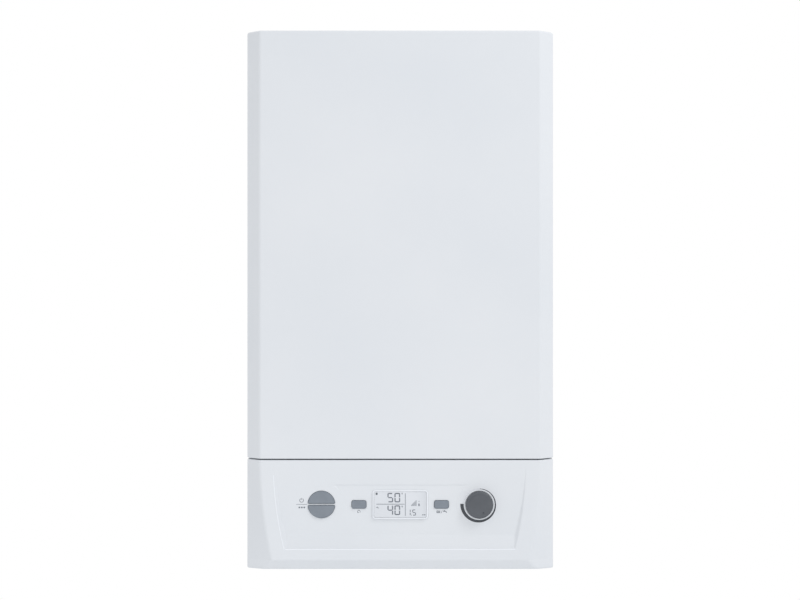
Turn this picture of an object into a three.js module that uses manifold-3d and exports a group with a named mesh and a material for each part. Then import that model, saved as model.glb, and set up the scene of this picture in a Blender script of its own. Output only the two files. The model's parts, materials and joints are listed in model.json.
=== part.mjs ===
// Wall-hung condensing combi boiler, in millimetres.
// +X is to the right as one faces the boiler, +Y points into the wall and +Z is up.
// The wall is the plane y = 0, the casing's bottom is z = 0, and the origin lies on the
// back face of the frame's lower rail, on the boiler's centre line.

import * as THREE from 'three';
import { mergeVertices } from 'three/addons/utils/BufferGeometryUtils.js';
import Module from 'manifold-3d';

// ---------------------------------------------------------------- driving dimensions

const CASE_W = 400; // casing width
const CASE_H = 700; // casing height
const CASE_D = 300; // casing depth, wall to front face
const SHEET = 1.2; // casing sheet
const PLASTIC = 2.5; // wall of the plastic control panel
const GAP = 0.3; // clearance between two pieces that touch
const SMALL_SIDES = 12; // facets round small round pieces
const LARGE_SIDES = 24; // facets round large ones
const FEW_SIDES = 8; // facets round posts, wires and grips
const BENT_STEPS = 12; // rings along a bent tube
const LONG_STEPS = 18; // rings along the long gas pipe
const RUN = 0.35; // clearance round what turns or slides

const BEVEL_W = 17.5; // front face to side, seen from the front
const BEVEL_D = 16; // front face to side, seen from above
const BEVEL_SHARE = 0.4; // how much of an inset the bevel's corners move
const EDGE_ROUND = 3; // rounding of the cover's top edge
const EDGE_STEPS = [0, 0.3, 0.6, 0.85, 1]; // shares of that rounding's quarter turn
const COVER_DEPTH = 60; // depth of the cover's and the fascia's side returns
const SEAM_Z = 143; // middle of the seam between cover and control panel
const SEAM_GAP = 1.6; // width of that seam
const FLANGE_DEPTH = 38; // inward flanges at the seam
const PANEL_JOINT = 0.6; // joint between the front parts and the side panels
const FOLD = 12; // turned edges of the sheet panels
const PAST = 1; // how far a cut runs past the face it goes through
const PANEL_BACK = 1; // casing panels end this far short of the wall

const WALL_STANDOFF = 5; // back sheet to wall
const RAIL_W = 300; // lower rail and wall bracket
const RAIL_BELOW = 14; // lower rail, below the casing's bottom
const RAIL_ABOVE = 20; // lower rail, above it
const BRACKET_T = 2; // wall bracket steel
const BRACKET_H = 45; // wall bracket height
const HOOK_DROP = 58; // top of the casing to the hooks
const HOOK_X = 110; // hooks, from the centre line
const HOOK_W = 30; // hook width
const HOOK_LIP = 14; // hook lip height
const SCREW_R = 4; // wall screw holes
const SCREW_X = 60; // wall screw holes, from the centre line
const NOTCH_DEPTH = 11; // notch of the side panels, behind the control box pivot
const NOTCH_RISE = 4; // notch, above the pivot
const PLATE_LEAD = 16; // bottom plate, behind the pivot
const PASS_GAP = 2; // gap round what passes through sheet

const FLUE_Y = -150; // flue axis
const FLUE_R = 30; // inner flue pipe, outside radius
const FLUE_WALL = 1.5; // its wall
const COLLAR_R = 50.3; // inside radius of the outer flue collar
const COLLAR_WALL = 2.2; // its wall
const COLLAR_RISE = 16; // collar above the casing
const COLLAR_DROP = 10; // collar below the casing's top
const COLLAR_FLANGE = 18; // width of its flange
const COLLAR_FLANGE_T = 2; // thickness of its flange
const COLLAR_GAP = 1.5; // top panel's hole round the collar

const RAIL_Z = 150; // underside of the cover rail
const RAIL_H = 25; // height of the cover rail
const STUD_X = 150; // cover studs, from the centre line
const STUD_R = 4; // cover studs
const STUD_REACH = 6; // cover studs, past the rail's face

const APRON_BOTTOM = 12.5; // lower edge of the fascia's front face
const APRON_NARROW = 15.7; // how much the front face narrows towards it, each side
const APRON_CURVE = 1.9; // how fast it narrows
const CHIN_SIDE = 22; // end of the fascia's underside, from the casing's side
const CHIN_BACK = 4.5; // underside's front edge, behind the front face
const RECESS_SIDE = 36.5; // recessed panel at the seam, from the casing's side
const RECESS_NARROW = 14; // how much it narrows
const RECESS_SPAN = 115; // over this height
const RECESS_BOTTOM = 26.6; // its lower edge
const RECESS_DEPTH = 4; // its greatest depth
const RECESS_KNEE = 45; // height of that depth
const RECESS_CURVE = 1.2; // how fast it deepens
const LEAST_RECESS = 0.05; // recess depth where it runs out at the seam
const KNEE_SOFT = 3; // rounding of the knee, upward and downward
const SILL_HEIGHT = 1.1; // small step along the recess's lower edge
const SILL_DEPTH = 1;
const FACE_STEP = 12; // spacing of the levels that the face is built from

const CONTROL_Z = 84.5; // row of controls
const MOON_X = -102.3; // half-moon buttons
const MOON_R = 17.65;
const MOON_BAR = 1.5; // bar between the halves
const KEY_X = 53.6; // small buttons, from the centre line
const KEY_W = 18.8;
const KEY_H = 10.4;
const KEY_ROUND = 2;
const LCD_W = 68.6; // display glass
const LCD_H = 34.1;
const LCD_ROUND = 2;
const BEZEL = 1.5; // raised rim round the display
const BEZEL_RISE = 1.6; // its height above the recess
const KNOB_X = 102.6;
const KNOB_R = 17.5;
const KNOB_OUT = 8; // knob, from its seat to its front
const KNOB_HUB_R = 6;
const KNOB_HOLE_R = 6.8; // fascia's hole round the hub
const HUB_END = 6; // hub, behind the recess floor
const ENCODER_R = 3; // encoder shaft
const ENCODER_HALF = 7; // encoder body
const POINTER_R = 11.4; // pointer dimple, from the knob's axis
const POINTER_ANGLE = (154 * Math.PI) / 180; // clockwise from the top
const DIMPLE_R = 1.6;
const RING_R = 19.5; // knob ring, outside radius
const RING_T = 1.3;
const SEAT_RISE = 1.1; // ring's seat above the recess
const RIM_DEPTH = 3; // rim and seat, behind the recess floor
const KNOB_FACE_T = 2.6; // thickness of the knob's face
const KNOB_RIM = 4; // width of its rim
const KNOB_SIDES = 40;
const DISH = 0.6; // how far the face is dished
const EDGE_SOFT = 1.2; // rounding of the rim
const DIMPLE_DEPTH = 0.9;
const GLASS_SET = 0.4; // display glass below its rim
const GLASS_T = 1.6;
const MODULE_INSET = [3, 2]; // display module inside the glass, sideways and upward
const PROUD = 1.4; // buttons above the recess
const MOON_STEPS = 12; // chords of a half-moon's arc
const BUTTON_TRAVEL = 1.2;
const BUTTON_DEPTH = 7.2; // button cap, front to stem end
const BUTTON_LIP = 1.5; // retaining lip behind the fascia
const LIP_T = 1.2; // its thickness
const STEM_END = 0.8; // stem behind the lip
const STEM_HALF = 3; // half width of a stem, and of the switch behind it
const STEM_OFF = 8; // stems of the half-moons, from the row of controls

const HINGE_BACK = 59; // control box pivot, behind the front face
const HINGE_Z = 8; // control box pivot, above the casing's bottom
const PIN_R = 2.5;
const ARM_T = 2; // hinge bracket steel
const HINGE_PLAY = 1.3; // side panel to hinge arm
const PIN_HEAD = 1.5; // pin's head round the pin
const PIN_LENGTH = 10; // pin inside the arm
const ARM_HALF = 5; // half height of the hinge arm
const ARM_LEAD = 7; // arm in front of the pivot
const ARM_REACH = 41; // arm behind the pivot
const FOOT_START = 18; // foot of the arm, behind the pivot
const FOOT_RISE = 32; // foot above the pivot
const TRAY_SIDE = 22; // tray's side, from the casing's side
const TRAY_BOTTOM = 12;
const TRAY_TOP = 136;
const TRAY_FRONT = 17; // behind the front face
const TRAY_BACK = 74; // behind the front face
const BOARD_T = 1.6;
const BOARD_LEAD = 3.5; // display board, in front of the tray
const DISPLAY_BOARD_HALF = 128;
const DISPLAY_BOARD_H = 54;
const PAD_X = 118; // pads that carry the display board
const PAD_Z = 20; // pads above and below the controls
const MAIN_BOARD_SIDE = 23; // main board's end, from the tray's side
const MAIN_BOARD_LOW = 13; // main board above the tray's bottom
const MAIN_BOARD_HIGH = 11; // main board below the tray's top
const BOARD_LIFT = 5; // main board, in front of the pivot
const POST_INSET = [7, 8]; // posts, from the main board's edges
const POST_R = 4;
const PAD_HALF = 5;
const LUG_ROOT = 4; // how far lugs and slots reach into the tray
const LUG_LEAD = 30; // lugs between tray and fascia, in front of the pivot
const LUG_Z = 66;
const LUG_H = 6;
const GLAND_OUT = 5; // gland behind the lid
const GLAND_R = 8; // cable gland in the tray's lid
const GLAND_BORE = 5;
const GLAND_SIDE = 58; // gland, from the tray's side
const GLAND_DROP = 36; // gland, from the tray's top

// Each part on the main board: centre from the middle, centre below the board's top, width, height, rise.
const BOARD_PARTS = [
  [-100, 30, 44, 38, 30], [-50, 25, 30, 22, 18], [-8, 25, 30, 22, 18], [34, 25, 30, 22, 18],
  [90, 30, 26, 30, 24], [-80, 83, 60, 14, 12], [20, 83, 90, 14, 12],
];

const CELL_X = 0; // burner and exchanger axis
const CELL_R = 105; // exchanger shell
const CELL_WALL = 6;
const CELL_DEEP = 85; // its open front, behind the casing's front
const CELL_BEHIND = 60; // its closed rear, behind the flue axis
const CELL_FLANGE = 7;
const COIL_BORE = 70;
const COIL_TURNS = 5;
const BURNER_R = 32;
const DOOR_T = 14;
const DUCT_HALF = 28;
const DUCT_DEPTH = 33;
const DUCT_WALL = 4;
const DUCT_DROP = 115; // below the cell's axis
const RISER_X = 85; // water connections under the shell, from its axis
const RISER_Y = -112;
const SPIGOT_R = 10;
const DRAIN_X = -60;
const DRAIN_Y = -150;
const DRAIN_R = 11;
const TUBE_WALL = 3; // wall of the spigots and of the drain
const SPIGOT_END = 85; // water spigots, below the cell's axis
const SPIGOT_ROOT = 56; // where they start, inside the shell
const DRAIN_LENGTH = 30; // drain below the shell
const SOCKET_WALL = 5; // flue socket
const SOCKET_RISE = 22; // flue socket above the shell
const SOCKET_STEP = 6; // its inner step, above the shell
const RIB_DEPTH = 8; // ribs of the coil
const BURNER_END = 25; // burner's closed end, in front of the shell's rear
const BURNER_FLANGE = 6;
const BURNER_WALL = 2;
const SPARK_OFF = 34; // electrode, right of the axis and above it
const SPARK_R = 5;
const SPARK_OUT = 18; // electrode in front of the door
const SPARK_WIRE = 42; // its wire, behind its ceramic
const SADDLE_T = 2; // exchanger bracket
const SADDLE_FOLD = 16;
const SADDLE_DROP = 30; // its turned ends
const SADDLE_INSET = 5; // its front and back inside the shell's

const FAN_SIDE = 155; // fan axis, from the casing's right side
const FAN_CLEAR = 41.7; // fan above the cover rail
const FAN_DROP = 80; // fan axis below its outlet flange
const FAN_R = 68;
const FAN_DEPTH = 46;
const FAN_WALL = 4;
const BLADES = 10;
const SHAFT_R = 4;
const MOTOR_R = 40;
const MOTOR_DEPTH = 28;
const MIXER_R = 34;
const MIXER_BORE = 22;
const MIXER_DEPTH = 44;
const MIXER_WALL = 5; // step of the mixer's flange
const MIXER_THROAT = 6; // how much its bore narrows
const SHAFT_REACH = 8; // fan shaft, short of the motor's front
const BLADE_START = 34; // fan blades, from the axis
const BLADE_CLEAR = 8; // fan wheel to housing
const BLADE_T = 2;
const HUB_R = 10; // fan hub
const HUB_SHORT = 6; // hub short of the blades' ends
const GAS_SPIGOT_R = 8;
const GAS_SPIGOT_END = 84; // from the fan's axis
const GAS_BLOCK = 56; // width of the gas valve
const GAS_BLOCK_HALF = 34; // half its height
const GAS_BLOCK_DEEP = 26; // half its depth
const GAS_INLET_X = 30; // inlet, from the valve's left side
const GAS_INLET_LOW = 46; // inlet's end, below the fan's axis
const GAS_COIL = [20, 18, 52]; // valve coil: from the valve's left side, radius, top
const GAS_PLUG = [36, 14, 14]; // pressure plug: from the valve's left side, radius, reach
const GAS_PLATES_GAP = 32; // gas pipe in front of the plate heat exchanger
const BOX_HALF = 38; // air silencer
const BOX_TOP = 52;
const BOX_DEPTH = 70;
const BOX_WALL = 2;
const BOX_SLOT = 30; // half width of its inlet
const BOX_END = 10; // inlet, from its front and back

const VESSEL_HALF = 135;
const VESSEL_H = 270;
const VESSEL_DROP = 42; // below the hooks
const VESSEL_DEPTH = 62;
const VESSEL_ROUND = 45;
const VESSEL_SEAM = 4;
const VESSEL_WALL = 2;
const VESSEL_PORT_R = 7;
const VESSEL_PORT_X = 60;
const VESSEL_PORT_END = 20; // port below the vessel
const VESSEL_CROWN = 8; // rounding of its front and back

const PIPE_Y = -90; // row of connections
const PIPE_SIDE = 70; // heating flow and return, from the casing's sides
const HEATING_R = 11;
const WATER_R = 7.5;
const GAS_R = 9;
const PIPE_WALL = 1.5;
const PIPE_BELOW = 24; // stubs below the casing
const DRAIN_BELOW = 15; // condensate drain below the casing
const NUT_LOW = 8; // nuts of the connections
const NUT_HIGH = 14;
const NUT_WALL = 4;
const BLOCK_LOW = 22; // underside of the water manifolds
const BLOCK_HIGH = 62; // their top
const BLOCK_BEHIND = 13; // manifolds' front, behind the condensate trap
const BLOCK_BACK = -55;
const BLOCK_INSET = 11; // inner end of each manifold, from its inner pipe
const BLOCK_SIDE = 12; // outer end, from the casing's side
const SOCKET_DEPTH = 12;
const SPINDLE_BORE = 36; // depth of the diverter's bore

const PUMP_SIDE = 56; // pump axis, from the manifold's outer end
const PUMP_RISE = 56; // pump axis above the manifold
const PUMP_R = 48;
const PUMP_FRONT = -115;
const PUMP_BACK = -68;
const PUMP_WALL = 6;
const PUMP_MOTOR_R = 43;
const PUMP_MOTOR_DEPTH = 78;
const VENT_X = -26; // air vent, from the pump axis
const OUTLET_X = 22; // pump outlet, from the pump axis
const OUTLET_R = 13;
const OUTLET_TOP = 70; // outlet above the pump axis
const WATER_BORE = 8; // waterways of the pump
const PORT_ROOT = 38; // where foot and outlet meet the volute
const FOOT_HALF = 18;
const VENT_R = 14;
const VENT_TOP = 88;
const VENT_CAP_R = 5;
const VENT_CAP = 9;
const WHEEL_CLEAR = 5; // pump wheel to volute
const WHEEL_T = 8;
const PUMP_SHAFT = 50; // shaft into the motor
const MOTOR_STEP = 7; // motor's flange
const TERMINAL_HALF = 26; // terminal box
const TERMINAL_TOP = 56;
const TERMINAL_LOW = 30;
const TERMINAL_INSET = 10; // terminal box behind the motor's front
const PUMP_VANES = 6;

const VALVE_SIDE = 38; // diverter, from the manifold's outer end
const VALVE_MOTOR_W = 46;
const VALVE_MOTOR_H = 62;
const VALVE_PLUG = 12; // its plug, in front of it
const VALVE_PLUG_INSET = 6; // plug inside its sides
const VALVE_PLUG_ENDS = [20, 44]; // plug above its seat
const SPINDLE_R = 6;
const SPINDLE_TRAVEL = 6;
const SPINDLE_IN = 22; // spindle inside the diverter's motor
const SPINDLE_FREE = 2; // spindle's play at its lower end

const PLATES_CLEAR_LEFT = 15; // plate heat exchanger to diverter
const PLATES_CLEAR_RIGHT = 10; // and to pump
const PLATES_INSET = 2.5; // plates inside their covers
const PLATES_COVER = 3;
const PLATES_BEHIND = 32; // front of the plate heat exchanger, behind the manifolds' front
const PLATES_BACK = -60;
const PLATES_H = 55;

const RELIEF_IN = 36; // safety valve, from the manifold's inner end
const RELIEF_R = 12;
const RELIEF_LENGTH = 26;
const RELIEF_KNOB = 18;
const RELIEF_STEM = 14;
const FILL_IN = 32; // filling tap, from the heating return pipe
const FILL_Y = -112;
const FILL_KNOB_R = 14;
const FILL_KNOB_TOP = -6;
const TRAP_SIDE = 40; // condensate trap, from the casing's left side
const TRAP_R = 24;
const TRAP_RIM = 3; // rim round its cap
const TRAP_CLEAR = 9; // rim to the control box's lid
const TRAP_LOW = 14;
const TRAP_TOP = 150;
const TRAP_SIDES = 20;
const RISER_R = 9; // risers between the shell and the blocks
const RISER_FOOT = 14; // flow riser's foot, behind the manifold's front
const RISER_FOOT_X = 100; // flow riser's foot, left of the centre line

// ---------------------------------------------------------------- derived places

const HALF_W = CASE_W / 2;
const FRONT = -CASE_D;
const BEVEL_Y = FRONT + BEVEL_D;
const FLAT_HALF = HALF_W - BEVEL_W;
const RETURN_Y = FRONT + COVER_DEPTH;
const PANEL_Y = RETURN_Y + PANEL_JOINT;
const INNER_HALF = HALF_W - SHEET - GAP; // what fits between the side panels
const BACK_FACE = -(WALL_STANDOFF + SHEET); // front of the back sheet
const COVER_BOTTOM = SEAM_Z + SEAM_GAP / 2;
const FASCIA_TOP = SEAM_Z - SEAM_GAP / 2;
const HINGE_Y = FRONT + HINGE_BACK;
const HOOK_TOP = CASE_H - HOOK_DROP;
const FLUE_HOLE_R = COLLAR_R + COLLAR_WALL + COLLAR_GAP;
const CHIN_HALF = HALF_W - CHIN_SIDE;
const TRAY_HALF = HALF_W - TRAY_SIDE;
const ARM_X = INNER_HALF - HINGE_PLAY - ARM_T; // inner face of the hinge arm
const FAN_X = HALF_W - FAN_SIDE;
const FAN_Z = RAIL_Z + RAIL_H + FAN_CLEAR + FAN_R;
const CELL_Z = FAN_Z + FAN_DROP + GAP + DUCT_DROP;
const CELL_FRONT = FRONT + CELL_DEEP;
const CELL_REAR = FLUE_Y + CELL_BEHIND;
const DOOR_FRONT = CELL_FRONT - GAP - DOOR_T;
const DUCT_FRONT = DOOR_FRONT - DUCT_DEPTH;
const MIXER_FRONT = DUCT_FRONT + FAN_DEPTH + GAP;
const GAS_Y = MIXER_FRONT + MIXER_DEPTH / 2;
const GAS_VALVE_X = GAS_SPIGOT_END + GAP; // valve's left side, from the fan's axis
const TRAP_X = TRAP_SIDE - HALF_W;
const TRAP_Y = FRONT + TRAY_BACK + TRAP_CLEAR + TRAP_RIM + TRAP_R;
const PIPE_OUTER_X = HALF_W - PIPE_SIDE; // heating flow and return
const PIPE_INNER_X = PIPE_OUTER_X / 2; // hot and cold water
const BLOCK_FRONT = TRAP_Y + TRAP_R + TRAP_RIM + BLOCK_BEHIND;
const BLOCK_IN = PIPE_INNER_X - BLOCK_INSET;
const BLOCK_OUT = HALF_W - BLOCK_SIDE;
const PUMP_X = BLOCK_OUT - PUMP_SIDE;
const PUMP_Z = BLOCK_HIGH + PUMP_RISE;
const VALVE_X = VALVE_SIDE - BLOCK_OUT;
const PLATES_FRONT = BLOCK_FRONT + PLATES_BEHIND;
const PLATES_LEFT = VALVE_X + VALVE_MOTOR_W / 2 + PLATES_CLEAR_LEFT;
const PLATES_RIGHT = PUMP_X - PUMP_R - PLATES_CLEAR_RIGHT;
const RELIEF_X = BLOCK_IN + RELIEF_IN;
const FILL_X = PIPE_OUTER_X - FILL_IN;
const CONTROL_Y = FRONT + recessDepth(CONTROL_Z); // recess floor behind the controls
const BOARD_FRONT = FRONT + TRAY_FRONT - BOARD_LEAD; // front of the display board
const MAIN_BOARD_Y = HINGE_Y - BOARD_LIFT;
const MAIN_BOARD_HALF = TRAY_HALF - MAIN_BOARD_SIDE;
const MAIN_BOARD_ENDS = [TRAY_BOTTOM + MAIN_BOARD_LOW, TRAY_TOP - MAIN_BOARD_HIGH];
const SEAT_Y = CONTROL_Y - SEAT_RISE; // flat seat of the knob ring

// ---------------------------------------------------------------- finishes

const coolWhite = new THREE.MeshStandardMaterial({ color: 0xe4e8ed, roughness: 0.45, metalness: 0 });
const galvanised = new THREE.MeshStandardMaterial({ color: 0xb4b9bd, roughness: 0.5, metalness: 0.8 });
const castAlloy = new THREE.MeshStandardMaterial({ color: 0xa7abae, roughness: 0.6, metalness: 0.7 });
const stainless = new THREE.MeshStandardMaterial({ color: 0xc3c6c8, roughness: 0.3, metalness: 1 });
const composite = new THREE.MeshStandardMaterial({ color: 0x4a4d50, roughness: 0.6, metalness: 0 });
const copper = new THREE.MeshStandardMaterial({ color: 0xb87351, roughness: 0.35, metalness: 1 });
const blackPlastic = new THREE.MeshStandardMaterial({ color: 0x26282b, roughness: 0.6, metalness: 0 });
const greyButton = new THREE.MeshStandardMaterial({ color: 0x888e98, roughness: 0.5, metalness: 0 });
const knobGrey = new THREE.MeshStandardMaterial({ color: 0x62666b, roughness: 0.45, metalness: 0 });
const whitePlastic = new THREE.MeshStandardMaterial({ color: 0xdde1e6, roughness: 0.5, metalness: 0 });
const circuitGreen = new THREE.MeshStandardMaterial({ color: 0x1f6b3f, roughness: 0.6, metalness: 0 });
const displayGlass = new THREE.MeshStandardMaterial({ color: 0xdfe2ea, roughness: 0.1, metalness: 0 });
const vesselRed = new THREE.MeshStandardMaterial({ color: 0xb3262b, roughness: 0.5, metalness: 0 });
const tapBlue = new THREE.MeshStandardMaterial({ color: 0x2559a8, roughness: 0.5, metalness: 0 });
const ceramic = new THREE.MeshStandardMaterial({ color: 0xeeeae0, roughness: 0.5, metalness: 0 });

// ---------------------------------------------------------------- solids

const kernel = await Module();
kernel.setup();

function signedVolume(positions, index) {
  const corners = [new THREE.Vector3(), new THREE.Vector3(), new THREE.Vector3()];
  let volume = 0;
  for (let i = 0; i < index.length; i += 3) {
    corners.forEach((corner, k) => corner.fromArray(positions, index[i + k] * 3));
    volume += corners[0].dot(corners[1].cross(corners[2])) / 6;
  }
  return volume;
}

// A closed three.js geometry as a solid that can be joined and cut.
function solid(geometry) {
  const merged = mergeVertices(positionsOnly(geometry));
  const positions = merged.getAttribute('position').array;
  const index = Array.from(merged.getIndex().array);
  if (signedVolume(positions, index) < 0) {
    index.reverse();
  }
  return new kernel.Manifold(
    new kernel.Mesh({
      numProp: 3,
      vertProperties: new Float32Array(positions),
      triVerts: new Uint32Array(index),
    }),
  );
}

function geometryOf(body) {
  const mesh = body.getMesh();
  const geometry = new THREE.BufferGeometry();
  geometry.setAttribute('position', new THREE.BufferAttribute(new Float32Array(mesh.vertProperties), 3));
  geometry.setIndex(new THREE.BufferAttribute(new Uint32Array(mesh.triVerts), 1));
  geometry.computeVertexNormals();
  return geometry;
}

function join(first, ...others) {
  return others.reduce((whole, other) => whole.add(other), first);
}

function cut(body, ...tools) {
  return tools.reduce((rest, tool) => rest.subtract(tool), body);
}

// Block between two opposite corners, given as ranges along x, y and z.
function block(xs, ys, zs) {
  const size = [xs, ys, zs].map(([a, b]) => Math.abs(b - a));
  const middle = [xs, ys, zs].map(([a, b]) => (a + b) / 2);
  const geometry = new THREE.BoxGeometry(...size);
  geometry.translate(...middle);
  return solid(geometry);
}

// Sends a shape's x, y and its extrusion to the row axes, without mirroring.
const AXES = {
  x: [new THREE.Vector3(0, 1, 0), new THREE.Vector3(0, 0, 1), new THREE.Vector3(1, 0, 0)],
  y: [new THREE.Vector3(0, 0, 1), new THREE.Vector3(1, 0, 0), new THREE.Vector3(0, 1, 0)],
  z: [new THREE.Vector3(1, 0, 0), new THREE.Vector3(0, 1, 0), new THREE.Vector3(0, 0, 1)],
};

function turnTo(geometry, axis) {
  geometry.applyMatrix4(new THREE.Matrix4().makeBasis(...AXES[axis]));
  return geometry;
}

// Prism of an outline. Along x the outline is (y, z), along y it is (z, x), along z it is (x, y).
function prism(axis, outline, from, to) {
  const shape = new THREE.Shape(outline.map(([a, b]) => new THREE.Vector2(a, b)));
  const geometry = new THREE.ExtrudeGeometry(shape, { depth: to - from, bevelEnabled: false });
  geometry.translate(0, 0, from);
  return solid(turnTo(geometry, axis));
}

// Body of revolution about an axis through the local origin; the profile holds (radius, place) pairs.
function turned(axis, profile, sides = LARGE_SIDES) {
  const points = profile.map(([radius, place]) => new THREE.Vector2(radius, place));
  points.push(points[0].clone());
  const geometry = new THREE.LatheGeometry(points, sides);
  geometry.rotateX(Math.PI / 2); // the lathe's axis becomes z
  return solid(turnTo(dropSlivers(geometry), axis));
}

// A profile point on the axis gives triangles with no area, which are left out.
function dropSlivers(geometry) {
  const merged = mergeVertices(positionsOnly(geometry));
  const old = merged.getIndex().array;
  const kept = [];
  for (let i = 0; i < old.length; i += 3) {
    const [a, b, c] = [old[i], old[i + 1], old[i + 2]];
    if (a !== b && b !== c && c !== a) {
      kept.push(a, b, c);
    }
  }
  merged.setIndex(kept);
  return merged;
}

function positionsOnly(geometry) {
  const bare = new THREE.BufferGeometry();
  bare.setAttribute('position', geometry.getAttribute('position'));
  bare.setIndex(geometry.getIndex());
  return bare;
}

function rod(axis, radius, from, to, sides = SMALL_SIDES) {
  return turned(axis, [[0, from], [radius, from], [radius, to], [0, to]], sides);
}

function tube(axis, radius, bore, from, to, sides = SMALL_SIDES) {
  return turned(axis, [[bore, from], [radius, from], [radius, to], [bore, to]], sides);
}

// Radius of a faceted hole whose flats clear a round part of the given radius by the given gap.
function holeRadius(radius, gap, sides) {
  return (radius + gap) / Math.cos(Math.PI / sides);
}

function hole(axis, radius, gap, from, to, sides = SMALL_SIDES) {
  return rod(axis, holeRadius(radius, gap, sides), from, to, sides);
}

// Solid through a stack of level outlines with equally many (x, y) points each, going anticlockwise.
function stack(levels) {
  const count = levels[0].outline.length;
  const positions = levels.flatMap(({ z, outline }) => outline.flatMap(([x, y]) => [x, y, z]));
  const index = [];
  for (let level = 0; level + 1 < levels.length; level += 1) {
    for (let i = 0; i < count; i += 1) {
      const a = level * count + i;
      const b = level * count + ((i + 1) % count);
      index.push(a, b, b + count, a, b + count, a + count);
    }
  }
  const top = (levels.length - 1) * count;
  const flat = (outline) => outline.map(([x, y]) => new THREE.Vector2(x, y));
  for (const [a, b, c] of THREE.ShapeUtils.triangulateShape(flat(levels[0].outline), [])) {
    index.push(c, b, a);
  }
  for (const [a, b, c] of THREE.ShapeUtils.triangulateShape(flat(levels.at(-1).outline), [])) {
    index.push(top + a, top + b, top + c);
  }
  const geometry = new THREE.BufferGeometry();
  geometry.setAttribute('position', new THREE.Float32BufferAttribute(positions, 3));
  geometry.setIndex(index);
  return solid(geometry);
}

function ring2d(radius, sides) {
  const points = [];
  for (let i = 0; i < sides; i += 1) {
    const angle = (2 * Math.PI * i) / sides;
    points.push(new THREE.Vector2(radius * Math.cos(angle), radius * Math.sin(angle)));
  }
  return points;
}

// Pipe through a list of points, with a wall.
function pipe(points, radius, wall, steps, sides = FEW_SIDES) {
  const path = new THREE.CatmullRomCurve3(points.map((p) => new THREE.Vector3(...p)), false, 'centripetal');
  const section = new THREE.Shape(ring2d(radius, sides));
  section.holes.push(new THREE.Path(ring2d(radius - wall, sides)));
  return solid(new THREE.ExtrudeGeometry(section, { steps, extrudePath: path, bevelEnabled: false }));
}

// Rounded rectangle, as (u, v) points.
function rounded(us, vs, radius, steps = 3) {
  const corners = [[us[1], vs[1], 0], [us[0], vs[1], 1], [us[0], vs[0], 2], [us[1], vs[0], 3]];
  const middleU = (us[0] + us[1]) / 2;
  const middleV = (vs[0] + vs[1]) / 2;
  return corners.flatMap(([u, v, quarter]) => {
    const cu = u - Math.sign(u - middleU) * radius;
    const cv = v - Math.sign(v - middleV) * radius;
    const points = [];
    for (let i = 0; i <= steps; i += 1) {
      const angle = (quarter + i / steps) * (Math.PI / 2);
      points.push([cu + radius * Math.cos(angle), cv + radius * Math.sin(angle)]);
    }
    return points;
  });
}

const both = (make) => [-1, 1].map(make);
const range = (count) => Array.from({ length: count }, (_, i) => i);

// Levels from one height to another, evenly spaced and at most a step apart.
function levels(from, to, step) {
  const count = Math.ceil((to - from) / step);
  return range(count + 1).map((i) => from + ((to - from) * i) / count);
}

// ---------------------------------------------------------------- scene graph

const boiler = new THREE.Group();
const casing = new THREE.Group();
const controlBox = new THREE.Group();
const heatCell = new THREE.Group();
const waterSide = new THREE.Group();
boiler.add(casing, controlBox, heatCell, waterSide);
heatCell.position.set(CELL_X, 0, CELL_Z);

function place(group, name, finish, body, position = [0, 0, 0]) {
  const mesh = new THREE.Mesh(geometryOf(body), finish);
  mesh.name = name;
  mesh.position.set(...position);
  group.add(mesh);
}

// ---------------------------------------------------------------- casing: frame and panels

function makeBackFrame() {
  const top = CASE_H - SHEET - GAP;
  const sheet = block([-INNER_HALF, INNER_HALF], [BACK_FACE, -WALL_STANDOFF], [SHEET + GAP, top]);
  const edges = both((side) =>
    block([side * (INNER_HALF - SHEET), side * INNER_HALF], [-WALL_STANDOFF - FOLD, -WALL_STANDOFF],
      [SHEET + GAP + FOLD, top - FOLD]));
  const rail = block([-RAIL_W / 2, RAIL_W / 2], [BACK_FACE, 0], [-RAIL_BELOW, RAIL_ABOVE]);
  const railHollow = block([-RAIL_W / 2 - PAST, RAIL_W / 2 + PAST], [-WALL_STANDOFF, -SHEET],
    [SHEET - RAIL_BELOW, RAIL_ABOVE - SHEET]);
  const slotHalf = HOOK_W / 2 + PASS_GAP / 2;
  const slots = both((side) =>
    block([side * HOOK_X - slotHalf, side * HOOK_X + slotHalf], [BACK_FACE - PAST, 0],
      [HOOK_TOP - BRACKET_T - HOOK_LIP - PASS_GAP, HOOK_TOP + GAP]));
  place(casing, 'back_frame', galvanised, cut(join(sheet, ...edges, rail), railHollow, ...slots));
}

function makeWallBracket() {
  const lipBack = BACK_FACE - GAP;
  const plate = block([-RAIL_W / 2, RAIL_W / 2], [-BRACKET_T, 0],
    [HOOK_TOP - BRACKET_H / 2, HOOK_TOP + BRACKET_H / 2]);
  const hooks = both((side) => {
    const width = [side * HOOK_X - HOOK_W / 2, side * HOOK_X + HOOK_W / 2];
    const tongue = block(width, [lipBack - BRACKET_T, -BRACKET_T], [HOOK_TOP - BRACKET_T, HOOK_TOP]);
    const lip = block(width, [lipBack - BRACKET_T, lipBack], [HOOK_TOP - BRACKET_T, HOOK_TOP + HOOK_LIP]);
    return join(tongue, lip);
  });
  const screws = both((side) =>
    rod('y', SCREW_R, -BRACKET_T - PAST, PAST).translate([side * SCREW_X, 0, HOOK_TOP]));
  place(casing, 'wall_bracket', galvanised, cut(join(plate, ...hooks), ...screws));
}

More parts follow.
